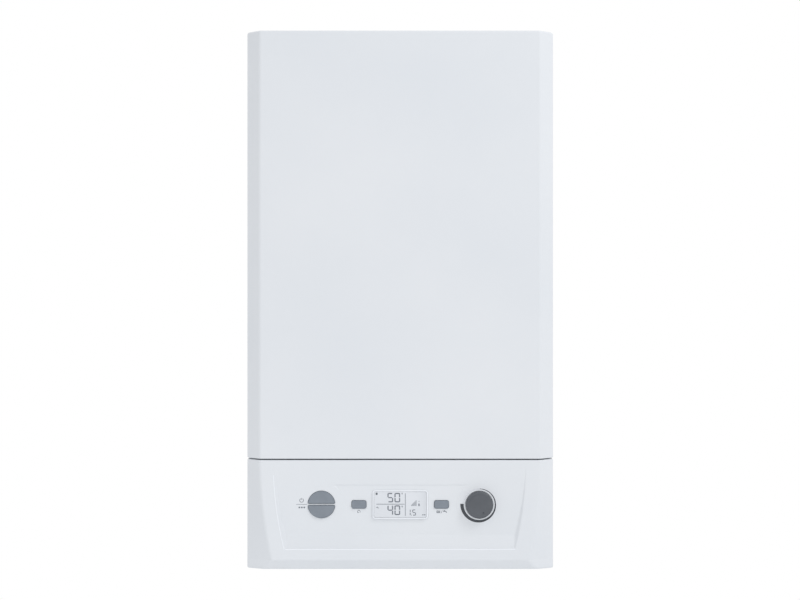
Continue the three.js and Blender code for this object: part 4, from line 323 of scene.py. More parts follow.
# %% Coloured finishes
black_plastic, shader = mottled(
    "black_plastic", screen_colour(34, 36, 39), screen_colour(46, 48, 52), 20 * MM,
    (0.45, 0.6), 0.5 * MM, 0.03 * MM,
)
motor_black, shader = mottled(
    "motor_black", screen_colour(28, 29, 32), screen_colour(42, 44, 47), 16 * MM,
    (0.38, 0.5), 0.7 * MM, 0.03 * MM, metallic=0.2,
)
composite_grey, shader = mottled(
    "composite_grey", screen_colour(66, 69, 72), screen_colour(84, 87, 90), 18 * MM,
    (0.5, 0.66), 0.8 * MM, 0.05 * MM, stretch=(1, 1, 0.4),
)
button_plastic, shader = mottled(
    "button_plastic", screen_colour(124, 132, 142), screen_colour(131, 139, 149), 9 * MM,
    (0.34, 0.42), 0.3 * MM, 0.01 * MM,
)
knob_plastic, shader = mottled(
    "knob_plastic", screen_colour(81, 85, 91), screen_colour(88, 92, 98), 12 * MM,
    (0.34, 0.42), 0.3 * MM, 0.015 * MM,
)
vessel_enamel, shader = mottled(
    "vessel_enamel", screen_colour(160, 28, 32), screen_colour(182, 36, 40), 60 * MM,
    (0.24, 0.34), 1.2 * MM, 0.03 * MM,
)
shader.inputs["Coat Weight"].default_value = 0.3
safety_red, shader = mottled(
    "safety_red", screen_colour(176, 32, 36), screen_colour(190, 40, 42), 10 * MM,
    (0.38, 0.5), 0.4 * MM, 0.02 * MM,
)
tap_blue, shader = mottled(
    "tap_blue", screen_colour(34, 84, 160), screen_colour(44, 96, 174), 10 * MM,
    (0.38, 0.5), 0.4 * MM, 0.02 * MM,
)
print_ink, shader = mottled(
    "print_ink", screen_colour(112, 118, 128), screen_colour(122, 128, 137), 3 * MM,
    (0.5, 0.6), 0.3 * MM, 0.004 * MM,
)
scale_ink, shader = mottled(
    "scale_ink", screen_colour(58, 62, 68), screen_colour(66, 70, 76), 6 * MM,
    (0.42, 0.5), 0.3 * MM, 0.004 * MM,
)


def tracked_board(name, mask, track, pitch):
    """Solder mask with the darker web of copper tracks under it."""
    material, tree_nodes, links, shader = new_material(name, 0.35)
    place = tree_nodes.new("ShaderNodeTexCoord")
    turn = tree_nodes.new("ShaderNodeMapping")
    turn.inputs["Rotation"].default_value = (math.pi / 2, 0, 0)
    tracks = tree_nodes.new("ShaderNodeTexBrick")
    tracks.inputs["Color1"].default_value = mask
    tracks.inputs["Color2"].default_value = tuple(0.8 * c for c in mask[:3]) + (1.0,)
    tracks.inputs["Mortar"].default_value = track
    tracks.inputs["Scale"].default_value = 1 / pitch
    tracks.inputs["Mortar Size"].default_value = 0.04
    links.new(place.outputs["Object"], turn.inputs["Vector"])
    links.new(turn.outputs["Vector"], tracks.inputs["Vector"])
    links.new(tracks.outputs["Color"], shader.inputs["Base Color"])
    add_grain(tree_nodes, links, shader, tracks.outputs["Fac"], 0.05 * MM, 0.5)
    return material


circuit_board = tracked_board("circuit_board", screen_colour(32, 104, 62), screen_colour(74, 140, 92), 9 * MM)
print("coloured finishes:", black_plastic.name, vessel_enamel.name, circuit_board.name)

# %% [markdown]
# ## Finishes for the CAD parts
# Each CAD part keeps its shape until a finer piece replaces it, so every one of them first gets its finish.
# The record names the slot of each part; this table turns a slot into one of the materials above.

# %% Dress the CAD parts
SLOT_FINISH = {
    "case_white": case_paint, "fascia_white": fascia_plastic, "galvanised": galvanised,
    "cast_alloy": cast_alloy, "stainless": stainless, "copper": copper, "black_plastic": black_plastic,
    "motor_black": motor_black, "composite_grey": composite_grey, "circuit_board": circuit_board,
    "display_grey": trap_plastic, "display_glass": fascia_plastic, "button_grey": button_plastic,
    "knob_grey": knob_plastic, "vessel_red": vessel_enamel, "knob_red": safety_red, "knob_blue": tap_blue,
    "trap_white": trap_plastic, "ceramic_white": ceramic_glaze,
}
slot_of = {subpart["node"]: subpart["material_slot"] for subpart in frame["record"]["subparts"]}
for name, node in nodes.items():
    node.data.materials.clear()
    node.data.materials.append(SLOT_FINISH[slot_of[name]])
print(len(nodes), "CAD parts dressed")

# %% [markdown]
# ## Making a piece
# Every rebuilt piece goes the same way: points and faces are laid out in a bmesh, the faces are smooth
# except across real corners, and the object then rides on a body of the CAD model, takes its finish, and
# hides the CAD part that it stands for. A Bevel modifier with hardened normals gives sheet and moulded
# edges the small radius that catches the light.

# %% Piece helpers
def finish_piece(name, mesh_builder, body, material, replaces=(), corner=35.0):
    """Turns a bmesh into an object that rides on a CAD body."""
    bmesh.ops.remove_doubles(mesh_builder, verts=mesh_builder.verts, dist=0.002 * MM)
    mesh = bpy.data.meshes.new(name)
    mesh_builder.to_mesh(mesh)
    mesh_builder.free()
    mesh.materials.append(material)
    mesh.polygons.foreach_set("use_smooth", [True] * len(mesh.polygons))
    mesh.set_sharp_from_angle(angle=math.radians(corner))
    piece = bpy.data.objects.new(name, mesh)
    bpy.context.scene.collection.objects.link(piece)
    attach(piece, body)
    if replaces:
        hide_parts(*replaces)
    return piece


def round_edges(piece, width, segments=2, corner=35.0):
    """Softens the edges of a piece with a Bevel modifier."""
    bevel = piece.modifiers.new("soft_edges", "BEVEL")
    bevel.width, bevel.segments = width, segments
    bevel.limit_method, bevel.angle_limit = "ANGLE", math.radians(corner)
    bevel.harden_normals = True
    return piece


def add_strip(mesh_builder, first, second, closed=False):
    """Quads between two rows of as many vertices."""
    count = len(first)
    for i in range(count if closed else count - 1):
        j = (i + 1) % count
        corners = [first[i], first[j], second[j], second[i]]
        if len(set(corners)) > 2:
            mesh_builder.faces.new(list(dict.fromkeys(corners)))


def add_rows(mesh_builder, rows, closed=False):
    """A surface through several rows of points. It returns the rows of vertices."""
    made = [[mesh_builder.verts.new(point) for point in row] for row in rows]
    for first, second in zip(made, made[1:]):
        add_strip(mesh_builder, first, second, closed)
    return made


def soft_corner(before, corner, after, setback, steps):
    """Points of a rounded corner, which starts and ends `setback` away from the sharp one."""
    start = corner + (before - corner).normalized() * setback
    end = corner + (after - corner).normalized() * setback
    points = []
    for i in range(steps + 1):
        t = i / steps
        points.append(start * (1 - t) ** 2 + corner * (2 * t * (1 - t)) + end * t**2)
    return points


print("piece helpers ready")

# %% [markdown]
# ## Front cover
# The cover is one folded sheet: a flat front, two bevels, two side returns, a rolled top edge and a flange
# turned in along the seam. It is built as level outlines stacked from the seam to the top. Each bend is a
# short curve instead of a sharp line, because the bend is what draws the bright and dark lines of the photo.

# %% Front cover outline
cover_low, cover_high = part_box("front_cover")
FRONT_Y, SIDE_X, TOP_Z = cover_low.y, cover_high.x, cover_high.z
RETURN_Y, COVER_BOTTOM = cover_high.y, cover_low.z
FLAT_HALF = SIDE_X - 17.5 * MM
BEVEL_Y = FRONT_Y + 16 * MM
FLANGE_Y = FRONT_Y + 38 * MM
SHEET = 1.2 * MM
BEND = 2.6 * MM
TOP_ROUND = 3 * MM
SEAM_ROUND = 1.4 * MM


def mirrored(half):
    """A whole outline from its right half, which runs outward from the centre line."""
    return [Vector((-p.x, p.y)) for p in reversed(half)] + half


def cover_outline(inset):
    """The cover's outline at one level, moved inward by `inset`, from left to right."""
    flat = Vector((FLAT_HALF - 0.4 * inset, FRONT_Y + inset))
    side = Vector((SIDE_X - inset, BEVEL_Y + 0.4 * inset))
    back = Vector((SIDE_X - inset, RETURN_Y))
    half = soft_corner(Vector((0, flat.y)), flat, side, BEND, 6)
    half += soft_corner(flat, side, back, BEND, 6) + [back]
    return mirrored(half)


def rolled(level, radius, upward):
    """Heights and insets of an edge rolled through a quarter turn."""
    steps = [math.radians(18 * i) for i in range(6)]
    rows = [(level - upward * radius * (1 - math.sin(a)), radius * (1 - math.cos(a))) for a in steps]
    return rows if upward > 0 else rows[::-1]


# %% Front cover
def turn_in(mesh_builder, height, depth):
    """Turns the open front edge at one height inward, level, back to the given y."""
    near = 0.01 * MM
    edge = [e for e in mesh_builder.edges if e.is_boundary]
    edge = [e for e in edge if all(abs(v.co.z - height) < near for v in e.verts)]
    edge = [e for e in edge if min(v.co.y for v in e.verts) < depth - near]
    turned = bmesh.ops.extrude_edge_only(mesh_builder, edges=edge)["geom"]
    for v in turned:
        if isinstance(v, bmesh.types.BMVert):
            v.co.y = max(v.co.y, depth)


shell = bmesh.new()
levels = rolled(COVER_BOTTOM, SEAM_ROUND, -1) + rolled(TOP_Z, TOP_ROUND, 1)
rows = add_rows(shell, [[(p.x, p.y, z) for p in cover_outline(inset)] for z, inset in levels])
shell.faces.new(rows[-1])
bmesh.ops.recalc_face_normals(shell, faces=shell.faces)
turn_in(shell, COVER_BOTTOM, FLANGE_Y)
bmesh.ops.recalc_face_normals(shell, faces=shell.faces)
cover = finish_piece("cover_shell", shell, "cover", case_paint, ["front_cover"])
sheet_metal = cover.modifiers.new("sheet", "SOLIDIFY")
sheet_metal.thickness, sheet_metal.offset = SHEET, -1
cover.modifiers.new("flat_faces", "WEIGHTED_NORMAL").keep_sharp = True
print("cover:", len(cover.data.polygons), "faces")

# %% [markdown]
# ## Control panel: the shape as a function
# The fascia's front is not flat: an apron narrows downward, and inside it lies a shallow recess that deepens
# towards the bottom and then sweeps back out. All of that can be said as one function, the depth of the
# surface behind the front plane at any (x, z). Points, printed marks and normals can then all ask the same
# function, so they always agree.

# %% Fascia surface
FASCIA_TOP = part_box("control_fascia")[1].z
PLASTIC = 2.5 * MM
APRON_BOTTOM = 12.5 * MM
APRON_NARROW, APRON_CURVE = 15.7 * MM, 1.9
CHIN_HALF, CHIN_BACK = 178 * MM, 4.5 * MM
CHIN_SOFT = 1.2 * MM
RECESS_TOP_HALF, RECESS_NARROW, RECESS_SPAN = 163.5 * MM, 14 * MM, 115 * MM
RECESS_BOTTOM, RECESS_KNEE = 26.6 * MM, 45 * MM
RECESS_DEPTH, RECESS_CURVE = 4 * MM, 1.2
SILL_HEIGHT, SILL_DEPTH, KNEE_SOFT = 1.1 * MM, 1.0 * MM, 3 * MM
CONTROL_Z = 84.5 * MM
MOON_X, KNOB_X, KEY_X = -102.3 * MM, 102.6 * MM, 53.6 * MM
ISLAND_TOP, ISLAND_ARC, ISLAND_STEP = 110.3 * MM, 29 * MM, 0.9 * MM
ISLAND_DEPTH, ISLAND_FADE_LOW, ISLAND_FADE_HIGH = 0.5 * MM, 64 * MM, 106 * MM


def clamp(value):
    """The value, kept between 0 and 1."""
    return max(0.0, min(1.0, value))


def apron_half(z):
    share = (FASCIA_TOP - max(z, APRON_BOTTOM)) / (FASCIA_TOP - APRON_BOTTOM)
    chin = clamp((APRON_BOTTOM - z) / APRON_BOTTOM)
    narrowest = FLAT_HALF - APRON_NARROW
    return FLAT_HALF - APRON_NARROW * max(share, 0) ** APRON_CURVE + (CHIN_HALF - narrowest) * chin


def chin_depth(z):
    """How far the chin below the apron leans back, with a soft start."""
    below = APRON_BOTTOM - z
    if abs(below) < CHIN_SOFT:
        return (below + CHIN_SOFT) ** 2 / (4 * CHIN_SOFT) * CHIN_BACK / APRON_BOTTOM
    return max(below, 0) * CHIN_BACK / APRON_BOTTOM


def recess_half(z):
    return RECESS_TOP_HALF - RECESS_NARROW * ((FASCIA_TOP - max(z, RECESS_BOTTOM)) / RECESS_SPAN) ** 2


def recess_depth(z):
    """Deepening from the seam to the knee, then a ramp forward that ends on a small sill."""
    upper = RECESS_DEPTH * (max(FASCIA_TOP - z, 0) / (FASCIA_TOP - RECESS_KNEE)) ** RECESS_CURVE
    sill_top = RECESS_BOTTOM + SILL_HEIGHT
    if z < sill_top:
        return SILL_DEPTH * clamp((z - RECESS_BOTTOM) / SILL_HEIGHT)
    ramp = SILL_DEPTH + (RECESS_DEPTH - SILL_DEPTH) * (z - sill_top) / (RECESS_KNEE - sill_top)
    blend = clamp((z - RECESS_KNEE + KNEE_SOFT) / (2 * KNEE_SOFT))
    blend = blend * blend * (3 - 2 * blend)
    return ramp * (1 - blend) + upper * blend


def island_depth(x, z):
    """The slight step down between the two round controls, which fades out below them."""
    if not MOON_X < x < KNOB_X:
        return 0.0
    inside = min(
        ISLAND_TOP - z,
        math.hypot(x - MOON_X, z - CONTROL_Z) - ISLAND_ARC,
        math.hypot(x - KNOB_X, z - CONTROL_Z) - ISLAND_ARC,
    )
    step = clamp(inside / ISLAND_STEP)
    fade = clamp((z - ISLAND_FADE_LOW) / (ISLAND_FADE_HIGH - ISLAND_FADE_LOW))
    return ISLAND_DEPTH * fade * step * step * (3 - 2 * step)


def panel_y(x, z):
    """The y of the panel's face between the recess walls."""
    return FRONT_Y + chin_depth(z) + recess_depth(z) + island_depth(x, z)


def panel_normal(x, z):
    """The face's normal, from how its depth changes around a point."""
    step = 0.05 * MM
    across = panel_y(x + step, z) - panel_y(x - step, z)
    along = panel_y(x, z + step) - panel_y(x, z - step)
    return Vector((across / (2 * step), -1, along / (2 * step))).normalized()


print("recess depth at the controls:", round(recess_depth(CONTROL_Z) / MM, 2), "mm")

# %% [markdown]
# ## Control panel: outlines of the openings
# Every opening and the button in it share one outline, drawn a little larger or smaller. Growing an outline
# by moving each point along its own normal works as long as the corners are rounder than the step, so the
# outlines have many points and soft corners.

# %% Outlines
def round_outline(corners, radius, steps=6):
    """A closed outline with rounded corners, as points (x, z), anticlockwise from the front."""
    count, points = len(corners), []
    for i in range(count):
        before, corner, after = (Vector(corners[(i + k) % count]) for k in (-1, 0, 1))
        points += soft_corner(before, corner, after, radius, steps)
    return points


def circle_outline(radius, steps=72):
    turns = [2 * math.pi * i / steps for i in range(steps)]
    return [Vector((radius * math.cos(a), radius * math.sin(a))) for a in turns]


def moon_outline(radius, flat, upward, soft=1.8 * MM, steps=36):
    """Half a disc whose flat side lies `flat` above the centre, or below it."""
    start = math.asin(flat / radius) + soft / radius
    arc = [start + (math.pi - 2 * start) * i / steps for i in range(steps + 1)]
    points = [Vector((radius * math.cos(a), radius * math.sin(a))) for a in arc]
    sharp = [Vector((side * math.sqrt(radius**2 - flat**2), flat)) for side in (-1, 1)]
    left = soft_corner(points[-1], sharp[0], sharp[1], soft, 6)
    right = soft_corner(sharp[0], sharp[1], points[0], soft, 6)
    points = points[:-1] + left + right[:-1]
    return points if upward > 0 else [Vector((p.x, -p.y)) for p in reversed(points)]


def grown(outline, distance):
    """The outline moved outward by a distance, point by point."""
    count, moved = len(outline), []
    for i, point in enumerate(outline):
        run = outline[(i + 1) % count] - outline[i - 1]
        moved.append(point + Vector((run.y, -run.x)).normalized() * distance)
    return moved


def rectangle(width, height):
    half_w, half_h = width / 2, height / 2
    return [(-half_w, -half_h), (half_w, -half_h), (half_w, half_h), (-half_w, half_h)]


MOON_RADIUS, MOON_BAR, KEY_CLEARANCE = 17.65 * MM, 1.5 * MM, 0.3 * MM
power_outline = moon_outline(MOON_RADIUS, MOON_BAR / 2 + KEY_CLEARANCE, 1)
mode_outline = moon_outline(MOON_RADIUS, MOON_BAR / 2 + KEY_CLEARANCE, -1)
key_outline = round_outline(rectangle(18.8 * MM, 10.4 * MM), 2.8 * MM)
glass_outline = round_outline(rectangle(68.6 * MM, 34.1 * MM), 2.4 * MM)
print("outline points:", len(power_outline), len(key_outline), len(glass_outline))

# %% [markdown]
# ## Control panel: edges of the openings
# An opening is a stack of rings: the first lies on the panel's face and becomes part of its mesh, the rest
# roll over into the hole. The display's rim and the knob's seat stand proud and have flat tops, so their
# rings are measured from one plane instead of from the sloping face.

# %% Rings of an opening
CONTROL_Y = FRONT_Y + recess_depth(CONTROL_Z)
LIP = 0.35 * MM
LIP_ROLL = [(LIP, 0), (0.18 * MM, 0.04 * MM), (0.05 * MM, 0.16 * MM), (0, 0.35 * MM), (0, PLASTIC)]
RIM_HEIGHT, SEAT_HEIGHT = 1.6 * MM, 1.1 * MM
RIM_ROLL = [
    (2.1 * MM, 0), (1.75 * MM, -0.15 * MM), (1.6 * MM, -0.5 * MM), (1.5 * MM, -1.2 * MM),
    (1.36 * MM, -1.48 * MM), (1.1 * MM, -RIM_HEIGHT), (0.4 * MM, -RIM_HEIGHT), (0.12 * MM, -1.5 * MM),
    (0, -1.2 * MM), (0, PLASTIC),
]
SEAT_ROLL = [
    (13.5 * MM, 0), (13.15 * MM, -0.1 * MM), (13 * MM, -0.35 * MM), (13 * MM, -0.85 * MM),
    (12.85 * MM, -1.05 * MM), (12.6 * MM, -SEAT_HEIGHT), (0, -SEAT_HEIGHT), (0, PLASTIC),
]
openings = [
    (MOON_X, grown(power_outline, KEY_CLEARANCE), LIP_ROLL, False),
    (MOON_X, grown(mode_outline, KEY_CLEARANCE), LIP_ROLL, False),
    (-KEY_X, grown(key_outline, KEY_CLEARANCE), LIP_ROLL, False),
    (KEY_X, grown(key_outline, KEY_CLEARANCE), LIP_ROLL, False),
    (0, grown(glass_outline, KEY_CLEARANCE), RIM_ROLL, True),
    (KNOB_X, circle_outline(6.8 * MM), SEAT_ROLL, True),
]


def opening_rings(centre_x, outline, roll, proud):
    """Rings of points of one opening, from the panel's face into the hole."""
    rings = []
    for out, depth in roll:
        ring = []
        for point in grown(outline, out):
            x, z = centre_x + point.x, CONTROL_Z + point.y
            base = CONTROL_Y if proud and rings else panel_y(x, z)
            ring.append(Vector((x, base + depth, z)))
        rings.append(ring)
    return rings


opening_sets = [opening_rings(*opening) for opening in openings]
print(len(opening_sets), "openings")

# %% [markdown]
# ## Control panel: the face around the openings
# A boolean cut would leave long thin faces that shade badly on a curved surface. Instead, the band of the
# face that holds the controls is triangulated with the openings already in it: a Delaunay triangulation takes
# the rings, the island's outline and a loose grid of points, and every point is then lifted onto the surface.

# %% Face levels
BAND_LOW, BAND_HIGH = 57 * MM, 114 * MM
FACE_COLUMNS = 40
FASCIA_ROUND, CHIN_ROUND = 1.2 * MM, 2 * MM
chin = [6, 10, 11.3, 11.9, 12.5, 13.1, 13.7, 16, 20, 24, 26, 26.4]
ramp = [26.6, 26.8, 27.2, 27.5, 27.7, 28, 30, 34, 38, 41, 42, 43, 44, 45, 46, 47]
plain = [48 + 3 * i for i in range(31)] + [139.8]
face_levels = rolled(0, CHIN_ROUND, -1) + [(z * MM, 0) for z in chin + ramp + plain]
face_levels += rolled(FASCIA_TOP, FASCIA_ROUND, 1)


def floor_half(z):
    """Half width of the face between the feet of the recess walls."""
    return recess_half(z) - recess_depth(z) - 3.4 * MM


def face_row(z, inset):
    """Points across the face at one level."""
    half = floor_half(z)
    row = []
    for i in range(FACE_COLUMNS + 1):
        x = half * (2 * i / FACE_COLUMNS - 1)
        row.append(Vector((x, panel_y(x, z) + inset, z)))
    return row


def wall_path(z, inset):
    """The right half of the outline outside the face: wall, apron, facet, return and inner lip."""
    front = FRONT_Y + chin_depth(z) + inset
    depth = recess_depth(z)
    foot = Vector((recess_half(z) - depth - 0.4 * MM, front + depth))
    start = Vector((floor_half(z), front + depth))
    brow = Vector((recess_half(z), front))
    crease = Vector((apron_half(z), front))
    side = Vector((SIDE_X - inset, max(BEVEL_Y, front + 0.5 * MM)))
    back = Vector((SIDE_X - inset, RETURN_Y))
    setback = 0.35 * (brow - foot).length
    path = [start] + soft_corner(start, foot, brow, setback, 4) + soft_corner(foot, brow, crease, setback, 4)
    path += soft_corner(brow, crease, side, 3 * MM, 6) + soft_corner(crease, side, back, BEND, 6)
    lip = Vector((SIDE_X - PLASTIC, RETURN_Y))
    return path + [back, lip, lip - Vector((0, 20 * MM))]


# %% Face triangulation
def inside_outline(x, z, ring):
    """Whether a point lies inside a closed ring, by counting crossings."""
    inside = False
    for a, b in zip(ring, ring[1:] + ring[:1]):
        if (a.z > z) != (b.z > z) and x < a.x + (b.x - a.x) * (z - a.z) / (b.z - a.z):
            inside = not inside
    return inside


def island_line(offset):
    """The island's edge, moved inward by an offset, from the left arc over the top to the right arc."""
    arc, top = ISLAND_ARC + offset, ISLAND_TOP - offset
    lean = math.asin((top - CONTROL_Z) / arc)
    angles = [math.radians(-38) + (lean + math.radians(38)) * i / 24 for i in range(25)]
    left = [(MOON_X + arc * math.cos(a), CONTROL_Z + arc * math.sin(a)) for a in angles]
    right = [(KNOB_X - (x - MOON_X), z) for x, z in reversed(left)]
    gap = right[0][0] - left[-1][0]
    top_run = [(left[-1][0] + gap * i / 30, top) for i in range(1, 30)]
    return left + top_run + right


def band_faces(rings):
    """Points and triangles of the band that holds the controls."""
    band = [z for z, inset in face_levels if inset == 0 and BAND_LOW - MM / 2 <= z <= BAND_HIGH + MM / 2]
    points, edges = [], []

    def add_loop(loop, closed):
        first = len(points)
        points.extend(Vector(p) for p in loop)
        edges.extend((first + i, first + i + 1) for i in range(len(loop) - 1))
        if closed:
            edges.append((len(points) - 1, first))

    low_row = [(p.x, p.z) for p in face_row(band[0], 0)]
    high_row = [(p.x, p.z) for p in face_row(band[-1], 0)]
    right_side = [(floor_half(z), z) for z in band[1:-1]]
    left_side = [(-x, z) for x, z in reversed(right_side)]
    add_loop(low_row + right_side + high_row[::-1] + left_side, True)
    for ring in rings:
        add_loop([(p.x, p.z) for p in ring], True)
    for offset in (0, ISLAND_STEP / 3, 2 * ISLAND_STEP / 3, ISLAND_STEP):
        add_loop(island_line(offset), False)
    for z in band[1:-1]:
        points.extend(Vector((p.x, z)) for p in face_row(z, 0)[1:-1])
    flat, _, faces, *_ = delaunay_2d_cdt(points, edges, [], 0, 1e-7)
    kept = []
    for face in faces:
        x, z = sum(flat[i].x for i in face) / 3, sum(flat[i].y for i in face) / 3
        in_band = BAND_LOW < z < BAND_HIGH and abs(x) < floor_half(z)
        if in_band and not any(inside_outline(x, z, ring) for ring in rings):
            kept.append(face)
    return flat, kept


# %% Fascia mesh
fascia_mesh = bmesh.new()
for side in (-1, 1):
    add_rows(fascia_mesh, [[(side * p.x, p.y, z) for p in wall_path(z, inset)] for z, inset in face_levels])
plain_levels = [[level for level in face_levels if level[0] < BAND_LOW + MM / 2]]
plain_levels.append([level for level in face_levels if level[0] > BAND_HIGH - MM / 2])
for group in plain_levels:
    add_rows(fascia_mesh, [face_row(z, inset) for z, inset in group])
band_points, band_triangles = band_faces([rings[0] for rings in opening_sets])
lifted = [fascia_mesh.verts.new((p.x, panel_y(p.x, p.y), p.y)) for p in band_points]
for triangle in band_triangles:
    fascia_mesh.faces.new([lifted[i] for i in triangle])
for rings in opening_sets:
    add_rows(fascia_mesh, rings, closed=True)
loose = [v for v in fascia_mesh.verts if not v.link_faces]
bmesh.ops.delete(fascia_mesh, geom=loose, context="VERTS")
bmesh.ops.remove_doubles(fascia_mesh, verts=fascia_mesh.verts, dist=0.004 * MM)
bmesh.ops.recalc_face_normals(fascia_mesh, faces=fascia_mesh.faces)
turn_in(fascia_mesh, FASCIA_TOP, FLANGE_Y)
turn_in(fascia_mesh, 0, FLANGE_Y)
bmesh.ops.recalc_face_normals(fascia_mesh, faces=fascia_mesh.faces)
if sum(f.normal.y * f.calc_area() for f in fascia_mesh.faces if abs(f.normal.y) > 0.5) > 0:
    bmesh.ops.reverse_faces(fascia_mesh, faces=fascia_mesh.faces)
fascia = finish_piece(
    "fascia_shell", fascia_mesh, "control_box", fascia_plastic, ["control_fascia"],
)

normals = []
for vertex in fascia.data.vertices:
    x, y, z = vertex.co
    on_face = 2 * MM < z < 140.9 * MM and abs(x) <= floor_half(z) + MM / 100
    on_face = on_face and abs(y - panel_y(x, z)) < MM / 1000
    normals.append(panel_normal(x, z) if on_face else Vector((0, 0, 0)))
fascia.data.normals_split_custom_set_from_vertices(normals)
print("fascia:", len(fascia.data.polygons), "faces,", sum(n.length > 0 for n in normals), "set normals")


# %% [markdown]
# ## Buttons
# A button is a cap with a softly rolled edge, a skirt that runs down through the opening, a lip behind the
# panel that keeps it from falling out, and a stem that reaches the switch. All of it is one stack of rings:
# the same outline, smaller or larger at each depth.

# %% Buttons
CAP_ROLL = [
    (-1.5, 0.05), (-0.9, 0.02), (-0.55, 0.06), (-0.3, 0.16), (-0.12, 0.34), (0, 0.65), (0, 5.1),
    (1.5, 5.2), (1.5, 6.3), (-2.4, 6.4),
]
STEM_HALF = 3 * MM


def make_button(name, node, body, centre_x, outline, stem_z):
    """A button cap with its lip and stem, in place of a CAD node."""
    front, back = (corner.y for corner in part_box(node))
    cap = bmesh.new()
    rings = []
    for out, depth in CAP_ROLL:
        ring = grown(outline, out * MM)
        rings.append([(centre_x + p.x, front + depth * MM, CONTROL_Z + p.y) for p in ring])
    made = add_rows(cap, rings, closed=True)
    cap.faces.new(made[0])
    cap.faces.new(made[-1])
    square = rectangle(2 * STEM_HALF, 2 * STEM_HALF)
    stem = [[(centre_x + x, y, CONTROL_Z + stem_z + z) for x, z in square] for y in (front + 6 * MM, back)]
    sides = add_rows(cap, stem, closed=True)
    cap.faces.new(sides[-1])
    bmesh.ops.recalc_face_normals(cap, faces=cap.faces)
    button = finish_piece(name, cap, body, button_plastic, [node], corner=50)
    button.modifiers.new("flat_faces", "WEIGHTED_NORMAL").keep_sharp = True
    return button


make_button("power_cap", "power_button", "power_key", MOON_X, power_outline, 8 * MM)
make_button("mode_cap", "mode_button", "mode_key", MOON_X, mode_outline, -8 * MM)
make_button("reset_cap", "reset_button", "reset_key", -KEY_X, key_outline, 0)
make_button("select_cap", "select_button", "select_key", KEY_X, key_outline, 0)
print("buttons: 4 caps of", len(CAP_ROLL), "rings")

# %% [markdown]
# ## Display
# The display is a pale liquid-crystal sheet under a clear lens. The lens is bonded to the sheet, so one solid
# with a glossy coat over a matt body looks the same as two layers, and it doesn't darken under a lamp as thin
# glass would. The figures are seven-segment digits: each segment is a short ribbon just proud of the sheet.

# %% Display lens
lens_material, shader = mottled(
    "display_lens", screen_colour(213, 217, 223), screen_colour(219, 223, 229), 30 * MM,
    (0.5, 0.6), 0.35 * MM, 0.004 * MM,
)
shader.inputs["Coat Weight"].default_value = 1.0
shader.inputs["Coat Roughness"].default_value = 0.04
LENS_ROLL = [(-0.35, 0), (-0.15, 0.03), (-0.03, 0.12), (0, 0.3), (0, 1.6), (-0.4, 1.6)]
lens_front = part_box("lcd_window")[0].y
lens = bmesh.new()
lens_rings = [
    [(p.x, lens_front + depth * MM, CONTROL_Z + p.y) for p in grown(glass_outline, out * MM)]
    for out, depth in LENS_ROLL
]
made = add_rows(lens, lens_rings, closed=True)
lens.faces.new(made[0])
lens.faces.new(made[-1])
bmesh.ops.recalc_face_normals(lens, faces=lens.faces)
display = finish_piece(
    "display_lens", lens, "control_box", lens_material, ["lcd_window"], corner=50,
)
display.modifiers.new("flat_faces", "WEIGHTED_NORMAL").keep_sharp = True
print("display lens at y =", round(lens_front / MM, 2), "mm")

# %% [markdown]
# ## Printed marks
# Ink has almost no thickness, so each mark is a ribbon laid on the surface, a few hundredths of a millimetre
# proud. A mark is a list of strokes, lines of points with a width. On the panel every point asks the surface
# function for its depth, so a mark follows the slope; on the display it lies in one plane.

# %% Ribbons
INK = 0.04 * MM


def arc_stroke(x, z, radius, start, end, steps=20):
    """Points along an arc, with angles in degrees from the right, anticlockwise."""
    turns = [math.radians(start + (end - start) * i / steps) for i in range(steps + 1)]
    return [(x + radius * math.cos(a), z + radius * math.sin(a)) for a in turns]


def ribbon(points, width):
    """The two long sides of a stroke, as rows of (x, z) points."""
    left, right = [], []
    for i, point in enumerate(points):
        before, after = Vector(points[max(i - 1, 0)]), Vector(points[min(i + 1, len(points) - 1)])
        run = (after - before).normalized()
        aside = Vector((-run.y, run.x)) * width / 2
        left.append(Vector(point) + aside)
        right.append(Vector(point) - aside)
    return left, right


def face_front(mesh_builder):
    """Turns every face toward the front."""
    for face in mesh_builder.faces:
        face.normal_update()
        if face.normal.y > 0:
            face.normal_flip()


def draw_marks(name, strokes, surface, body, material):
    """Strokes in millimetres as one flat piece on a surface, which gives y for any (x, z)."""
    ink = bmesh.new()
    for points, width in strokes:
        sides = ribbon([(x * MM, z * MM) for x, z in points], width * MM)
        add_rows(ink, [[(p.x, surface(p.x, p.y) - INK, p.y) for p in side] for side in sides])
    face_front(ink)
    return finish_piece(name, ink, body, material)


# %% Display figures
SEGMENTS = {"0": "abcdef", "4": "bcfg", "5": "acdfg"}


def digit_strokes(digit, x, z, width, height, stroke):
    """Strokes of a seven-segment digit whose lower left corner is at (x, z)."""
    turn, gap, half = stroke * 0.4, stroke * 0.35, height / 2
    right, top = x + width, z + height
    lines = {
        "a": [(x + turn, top), (right - turn, top)],
        "b": [(right - turn, top), (right, top - turn), (right, z + half + gap)],
        "c": [(right, z + half - gap), (right, z + turn), (right - turn, z)],
        "d": [(x + turn, z), (right - turn, z)],
        "e": [(x + turn, z), (x, z + turn), (x, z + half - gap)],
        "f": [(x + turn, top), (x, top - turn), (x, z + half + gap)],
        "g": [(x + gap, z + half), (right - gap, z + half)],
    }
    return [(lines[part], stroke) for part in SEGMENTS[digit]]


